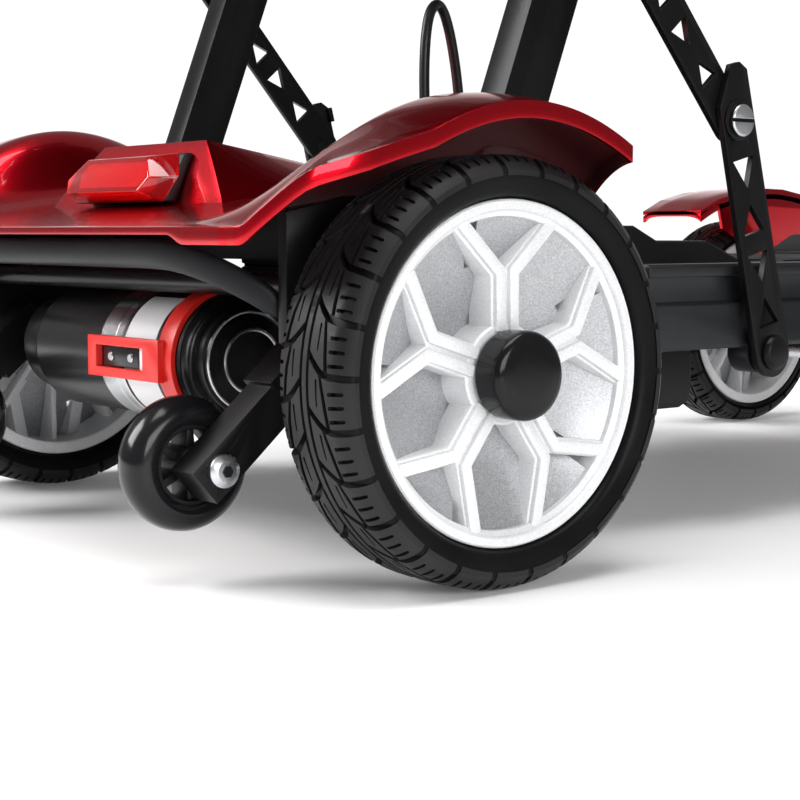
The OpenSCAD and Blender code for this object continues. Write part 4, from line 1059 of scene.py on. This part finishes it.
def silver_dish(name, lip, hub, well):
    """The bowl behind the spokes, with a small opening in each fifth of it."""
    scale = lip / REAR_LIP
    bowl = [
        (hub - 0.5, 24), (hub + 8 * scale, 22.5), (38 * scale, 20.6), (52 * scale, 17), (64 * scale, 12.6),
        (well + 0.5, 8),
    ]
    points = []
    faces = []
    for q in range(DISH_STEPS):
        turn = 2 * math.pi * q / DISH_STEPS
        points += [(r * math.sin(turn), RIM_FACE - y, r * math.cos(turn)) for r, y in bowl]
        for c in range(len(bowl) - 1):
            in_opening = q % (DISH_STEPS // 5) in (4, 5) and c in (3, 4)
            if not in_opening:
                here = q * len(bowl) + c
                beside = (q + 1) % DISH_STEPS * len(bowl) + c
                faces.append((here, here + 1, beside + 1, beside))
    dish = from_points(name, points, [], faces)
    thicken(dish, 0.002, offset=0)
    face_out(dish)
    soften(dish, 0, smooth=40)
    return dish


def wheel(end, word, side, centre, radius, half, lip, hub, pitches):
    """Tyre and rim of one wheel, drawn facing +Y and turned half round for the right."""
    put = facing_out(centre, side)
    body = "%s_wheel_%s" % (end, word)
    well = lip - 8
    blocks = tread("tread_blocks", radius, half, pitches)
    wall = tyre_wall(radius, half, lip)
    carcass = turned("tyre_carcass", wall + [(r, -y) for r, y in wall[-2::-1]], steps=144)
    carcass.data.materials.append(tyre_rubber)
    # The tread blocks get the lighter rubber, a painted highlight.
    blocks.data.materials.append(tread_rubber_painted_highlight)
    shoe = joined("%s_tyre_rubber_%s" % (end, word), [carcass, blocks])
    shoe.data.transform(put)
    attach(shoe, body)
    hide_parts("%s_tyre_%s" % (end, word))
    rim = joined("%s_rim_white_%s" % (end, word), white_rim(lip, hub, well))
    rim.data.transform(put)
    belongs(rim, rim_white, body, "rim_white", "%s_rim_%s" % (end, word))
    dish = silver_dish("%s_rim_dish_%s" % (end, word), lip, hub, well)
    dish.data.transform(put)
    belongs(dish, rim_silver, body, "rim_white")


for word, side in SIDES:
    rear_hub = (AXLE_X, side * REAR_Y, REAR_R)
    front_hub = (FRONT_X, side * FRONT_Y, FRONT_R)
    wheel("rear", word, side, rear_hub, REAR_R, REAR_HALF, REAR_LIP, REAR_HUB, REAR_PITCHES)
    cap = turned(
        "rear_hub_cap_" + word,
        [
            (0, 37.4), (10, 37.3), (16.6, 36.8), (18.6, 36.2), (20.2, 35), (20.9, 33.2), (21, 31), (21, 21),
            (20.6, 20.5), (0, 20.5),
        ],
        steps=72,
    )
    cap.data.transform(facing_out(rear_hub, side))
    belongs(cap, cap_black, "rear_wheel_" + word, "cap_black", "rear_cap_" + word)
    dressed("drive_shaft_" + word, steel, 0.0005)
    wheel("front", word, side, front_hub, FRONT_R, FRONT_HALF, FRONT_LIP, FRONT_HUB, FRONT_PITCHES)
    dressed("knuckle_" + word, frame_black, 0.0012)

# Front end
# A black steel beam carries the two kingpins; the nose frame clamps to it and to the
# deck, under a moulded cover, and a flat tie rod joins the two knuckle arms.
dressed("front_beam", frame_black, 0.0014)
dressed("nose_frame", frame_black, 0.0014)
dressed("nose_cover", black_plastic, 0.006, 4)
dressed("tie_rod", steel, 0.0012)

# Front fenders
# Red moulded fenders that turn with the front wheels, each on a web bolted to its
# knuckle, with a rounded crown and a turned-down edge.
CROWN_LINE = [
    (-84, 97), (-62, 107), (-32, 114), (0, 117), (22, 116.5), (50, 112), (78, 101), (106, 85), (130, 72),
]
CROWN_HALF = 34
CROWN_DROP = 5.0
CROWN_CLEAR = 0.4
for word, side in SIDES:
    dressed("front_fender_" + word, candy_red, 0.001)
    bpy.ops.mesh.primitive_grid_add(x_subdivisions=60, y_subdivisions=30, size=2)
    fender = bpy.context.object
    fender.name = "front_fender_crown_" + word
    for vertex in fender.data.vertices:
        q = (vertex.co.x + 1) / 2 * (len(CROWN_LINE) - 1)
        i = min(int(q), len(CROWN_LINE) - 2)
        crown = along(CROWN_LINE, i, q - i)
        y = side * (FRONT_Y + CROWN_HALF * vertex.co.y)
        z = FRONT_R + crown.y + CROWN_CLEAR - CROWN_DROP * abs(vertex.co.y) ** 5
        vertex.co = Vector((FRONT_X + crown.x, y, z)) / 1000
    turn_down(fender, 0.005)
    face_out(fender)
    thicken(fender, 0.0024)
    soften(fender, 0.0012, angle=50)
    belongs(fender, candy_red, "knuckle_" + word, "paint_red")

# Tiller
# A black aluminium tube hinged on the steering shaft carries the moulded console with
# its display, the handlebar, finger lever, head lamp, horn button and speed dial.
GRIP_FROM = 125
LAMP_MIDDLE = Vector((172.1, 0, 734))
LAMP_AIM = Vector((0.956, 0, 0.292))
LENS_FROM = 34.4
TILLER_FOOT = (0.341, 0, 0.117)
TILLER_LEAN = math.radians(-17)
DISPLAY_PLACE = (-0.004, -0.041, 0.7683)
DISPLAY_TILT = math.radians(9.46)
dressed("steering_shaft", frame_black, 0.0014)
dressed("tiller_tube", frame_black, 0.0012)
dressed("console_body", black_plastic, 0.006, 4)
grip_rubber = finish(
    "grip_rubber", ((0.008, 0.008, 0.008), (0.013, 0.013, 0.013)), (0.6, 0.75), relief=0.0002, patch=30,
    grain=420, specular_ior_level=0.25,
)
bars = dressed("handlebar", frame_black, 0.003, 3)
part_finish(bars, grip_rubber, lambda c: abs(c.y) > GRIP_FROM)
lamp_grey = finish("lamp_shell", ((0.30, 0.31, 0.32), (0.36, 0.37, 0.38)), (0.25, 0.35), metallic=0.6)
lamp_clear = finish(
    "clear_lens", ((0.90, 0.91, 0.92), (0.95, 0.95, 0.96)), (0.03, 0.06), relief=0.00001,
    transmission_weight=0.5,
)
lamp = dressed("head_lamp", lamp_grey, 0.0012, 3)
part_finish(lamp, lamp_clear, lambda c: (c - LAMP_MIDDLE).dot(LAMP_AIM) > LENS_FROM)
dressed("throttle_lever", black_plastic, 0.003, 3)
dressed("horn_button", lever_red, 0.0015, 3)
dressed("speed_dial", black_plastic, 0.0012, 3)
on_tiller = Matrix.Translation(TILLER_FOOT) @ Matrix.Rotation(TILLER_LEAN, 4, "Y")
on_console = on_tiller @ Matrix.Translation(DISPLAY_PLACE) @ Matrix.Rotation(DISPLAY_TILT, 4, "Y")
dark_glass = finish(
    "display_glass", ((0.004, 0.004, 0.005), (0.007, 0.007, 0.008)), (0.04, 0.08), relief=0.000002,
    coat_weight=0.6,
)
charge_green = finish(
    "charge_lamps", ((0.10, 0.55, 0.16), (0.14, 0.62, 0.20)), (0.2, 0.3), relief=0.00001,
    emission_strength=0.5, emission_color=(0.1, 0.8, 0.2, 1),
)
display = block("console_display", (0, 0, 0), (34, 50, 2.2), 0.0008)
display.data.transform(on_console)
belongs(display, dark_glass, "tiller", "plastic_black")
for n in range(5):
    charge = block("charge_lamp_%d" % n, (6, -15 + 7.5 * n, 1.1), (9, 4, 0.5), 0.0002)
    charge.data.transform(on_console)
    belongs(charge, charge_green, "tiller", "plastic_black")

# Seat frame
# Two rectangular steel posts lean back to the seat hinge; on each side a lower and
# an upper flat link with three-cornered holes fold at a bright slotted knee screw.
KNEE = Vector((-121.7, 0, 229.7))
KNEE_HEAD_R = 9
KNEE_HEAD_Y = 204.2
dressed("seat_posts", frame_black, 0.0022, 3)
low_links = dressed("lower_links", frame_black, 0.0007)
part_finish(low_links, steel, lambda c: from_axle(c, KNEE) < KNEE_HEAD_R and abs(c.y) > KNEE_HEAD_Y)
dressed("upper_links", frame_black, 0.0007)
dressed("seat_pan", frame_black, 0.0015)

# Cushions
# Black leatherette over foam: a crowned seat and back with a piped edge and sewn
# channels, and a small pad on each armrest.
SEAT_SIZE = (336, 372, 54)
SEAT_CHANNELS = (-62, 62)
SEAT_PLACE = Matrix.Translation((-0.1666, 0, 0.4989))
BACK_SIZE = (242, 352, 42)
BACK_CHANNELS = (-58, 58)
BACK_HINGE = (-0.3431, 0, 0.6089)
BACK_LEAN = math.radians(-10)
BACK_PLACE = (
    Matrix.Translation(BACK_HINGE)
    @ Matrix.Rotation(BACK_LEAN, 4, "Y")
    @ Matrix.Translation((-0.004, 0, 0.131))
    @ Matrix.Rotation(math.radians(90), 4, "Y")
)
PAD_SIZE = (216, 33.4, 22)
PAD_X = -0.2367
PAD_Y = 0.2105
PAD_Z = 0.7399
CHANNEL_DEEP = 5.5
CHANNEL_WIDE = 3.4
WRINKLE = 0.9
SEAM_AT = 0.45
PIPING_R = 0.0021
PIPING_POINTS = 160
leather = finish(
    "leatherette", ((0.009, 0.009, 0.0095), (0.015, 0.015, 0.016)), (0.40, 0.54), relief=0.00025, patch=12,
    grain=520, sheen_weight=0.1, specular_ior_level=0.3,
)


def closer_at_edges(t):
    """Draws the rows of a grid from -1 to 1 closer together towards its edges."""
    return math.sin(t * math.pi / 2) * 0.55 + t * 0.45


def cushion(name, size, crown, pull, place, channels):
    """A crowned foam cushion: sides drawn in between the corners, sewn channels across the top."""
    length, width, height = size

    def in_plan(u, v):
        x = u * (length / 2 - pull * (1 - v * v) * u * u)
        y = v * (width / 2 - pull * (1 - u * u) * v * v)
        return x, y

    def upper(u, v):
        x, y = in_plan(u, v)
        full = max(0, (1 - abs(u) ** 5) * (1 - abs(v) ** 5)) ** 0.25
        z = height * SEAM_AT + height * (1 - SEAM_AT) * full + crown * (1 - u * u) * (1 - v * v)
        for c in channels:
            fold = math.exp(-(((y - c) / CHANNEL_WIDE) ** 2))
            z -= CHANNEL_DEEP * fold * full * (1 if abs(u) < 0.9 else 0.4)
        z += WRINKLE * math.sin(x * 0.09 + y * 0.021) * math.sin(y * 0.05) * full
        return x, y, z

    def under(u, v):
        full = max(0, (1 - abs(u) ** 9) * (1 - abs(v) ** 9)) ** 0.3
        return *in_plan(u, v), height * SEAM_AT - height * SEAM_AT * full

    bpy.ops.mesh.primitive_grid_add(x_subdivisions=88, y_subdivisions=96, size=2)
    piece = bpy.context.object
    piece.name = name
    low = bpy.data.objects.new("under", piece.data.copy())
    bpy.context.collection.objects.link(low)
    for half_cover, shape in ((piece, upper), (low, under)):
        for vertex in half_cover.data.vertices:
            u = closer_at_edges(vertex.co.x)
            v = closer_at_edges(vertex.co.y)
            vertex.co = Vector(shape(u, v)) / 1000
    piece = joined(name, [piece, low])
    face_out(piece, 0.00002)
    soften(piece, 0, smooth=60)
    piece.data.transform(place)
    line = bpy.data.curves.new(name + "_piping", "CURVE")
    line.dimensions = "3D"
    line.bevel_depth = PIPING_R
    line.bevel_resolution = 3
    ring = line.splines.new("POLY")
    ring.points.add(PIPING_POINTS - 1)
    ring.use_cyclic_u = True
    for n, point in enumerate(ring.points):
        turn = 2 * math.pi * n / PIPING_POINTS
        u, v = (max(-1, min(1, 1.42 * c)) for c in (math.cos(turn), math.sin(turn)))
        x, y = in_plan(u, v)
        point.co = (*(place @ (Vector((x * 0.998, y * 0.998, height * SEAM_AT)) / 1000)), 1)
    piping = bpy.data.objects.new(name + "_piping", line)
    bpy.context.collection.objects.link(piping)
    ready(piping)
    bpy.ops.object.convert(target="MESH")
    soften(bpy.context.object, 0, smooth=60)
    return piece, bpy.context.object


seat, seat_piping = cushion("seat_cushion_cover", SEAT_SIZE, 6, 6, SEAT_PLACE, SEAT_CHANNELS)
belongs(seat, leather, "seat", "upholstery", "seat_cushion")
belongs(seat_piping, leather, "seat", "upholstery")

dressed("backrest_frame", frame_black, 0.0015)
back, back_piping = cushion("backrest_cushion_cover", BACK_SIZE, 5, 5, BACK_PLACE, BACK_CHANNELS)
belongs(back, leather, "back", "upholstery", "backrest_cushion")
belongs(back_piping, leather, "back", "upholstery")

for word, side in SIDES:
    dressed("armrest_" + word, frame_black, 0.0015)
    pad_place = Matrix.Translation((PAD_X, side * PAD_Y, PAD_Z))
    pad, pad_piping = cushion("armrest_pad_" + word, PAD_SIZE, 3, 1.5, pad_place, ())
    belongs(pad, leather, "armrest_" + word, "upholstery")
    belongs(pad_piping, leather, "armrest_" + word, "upholstery")
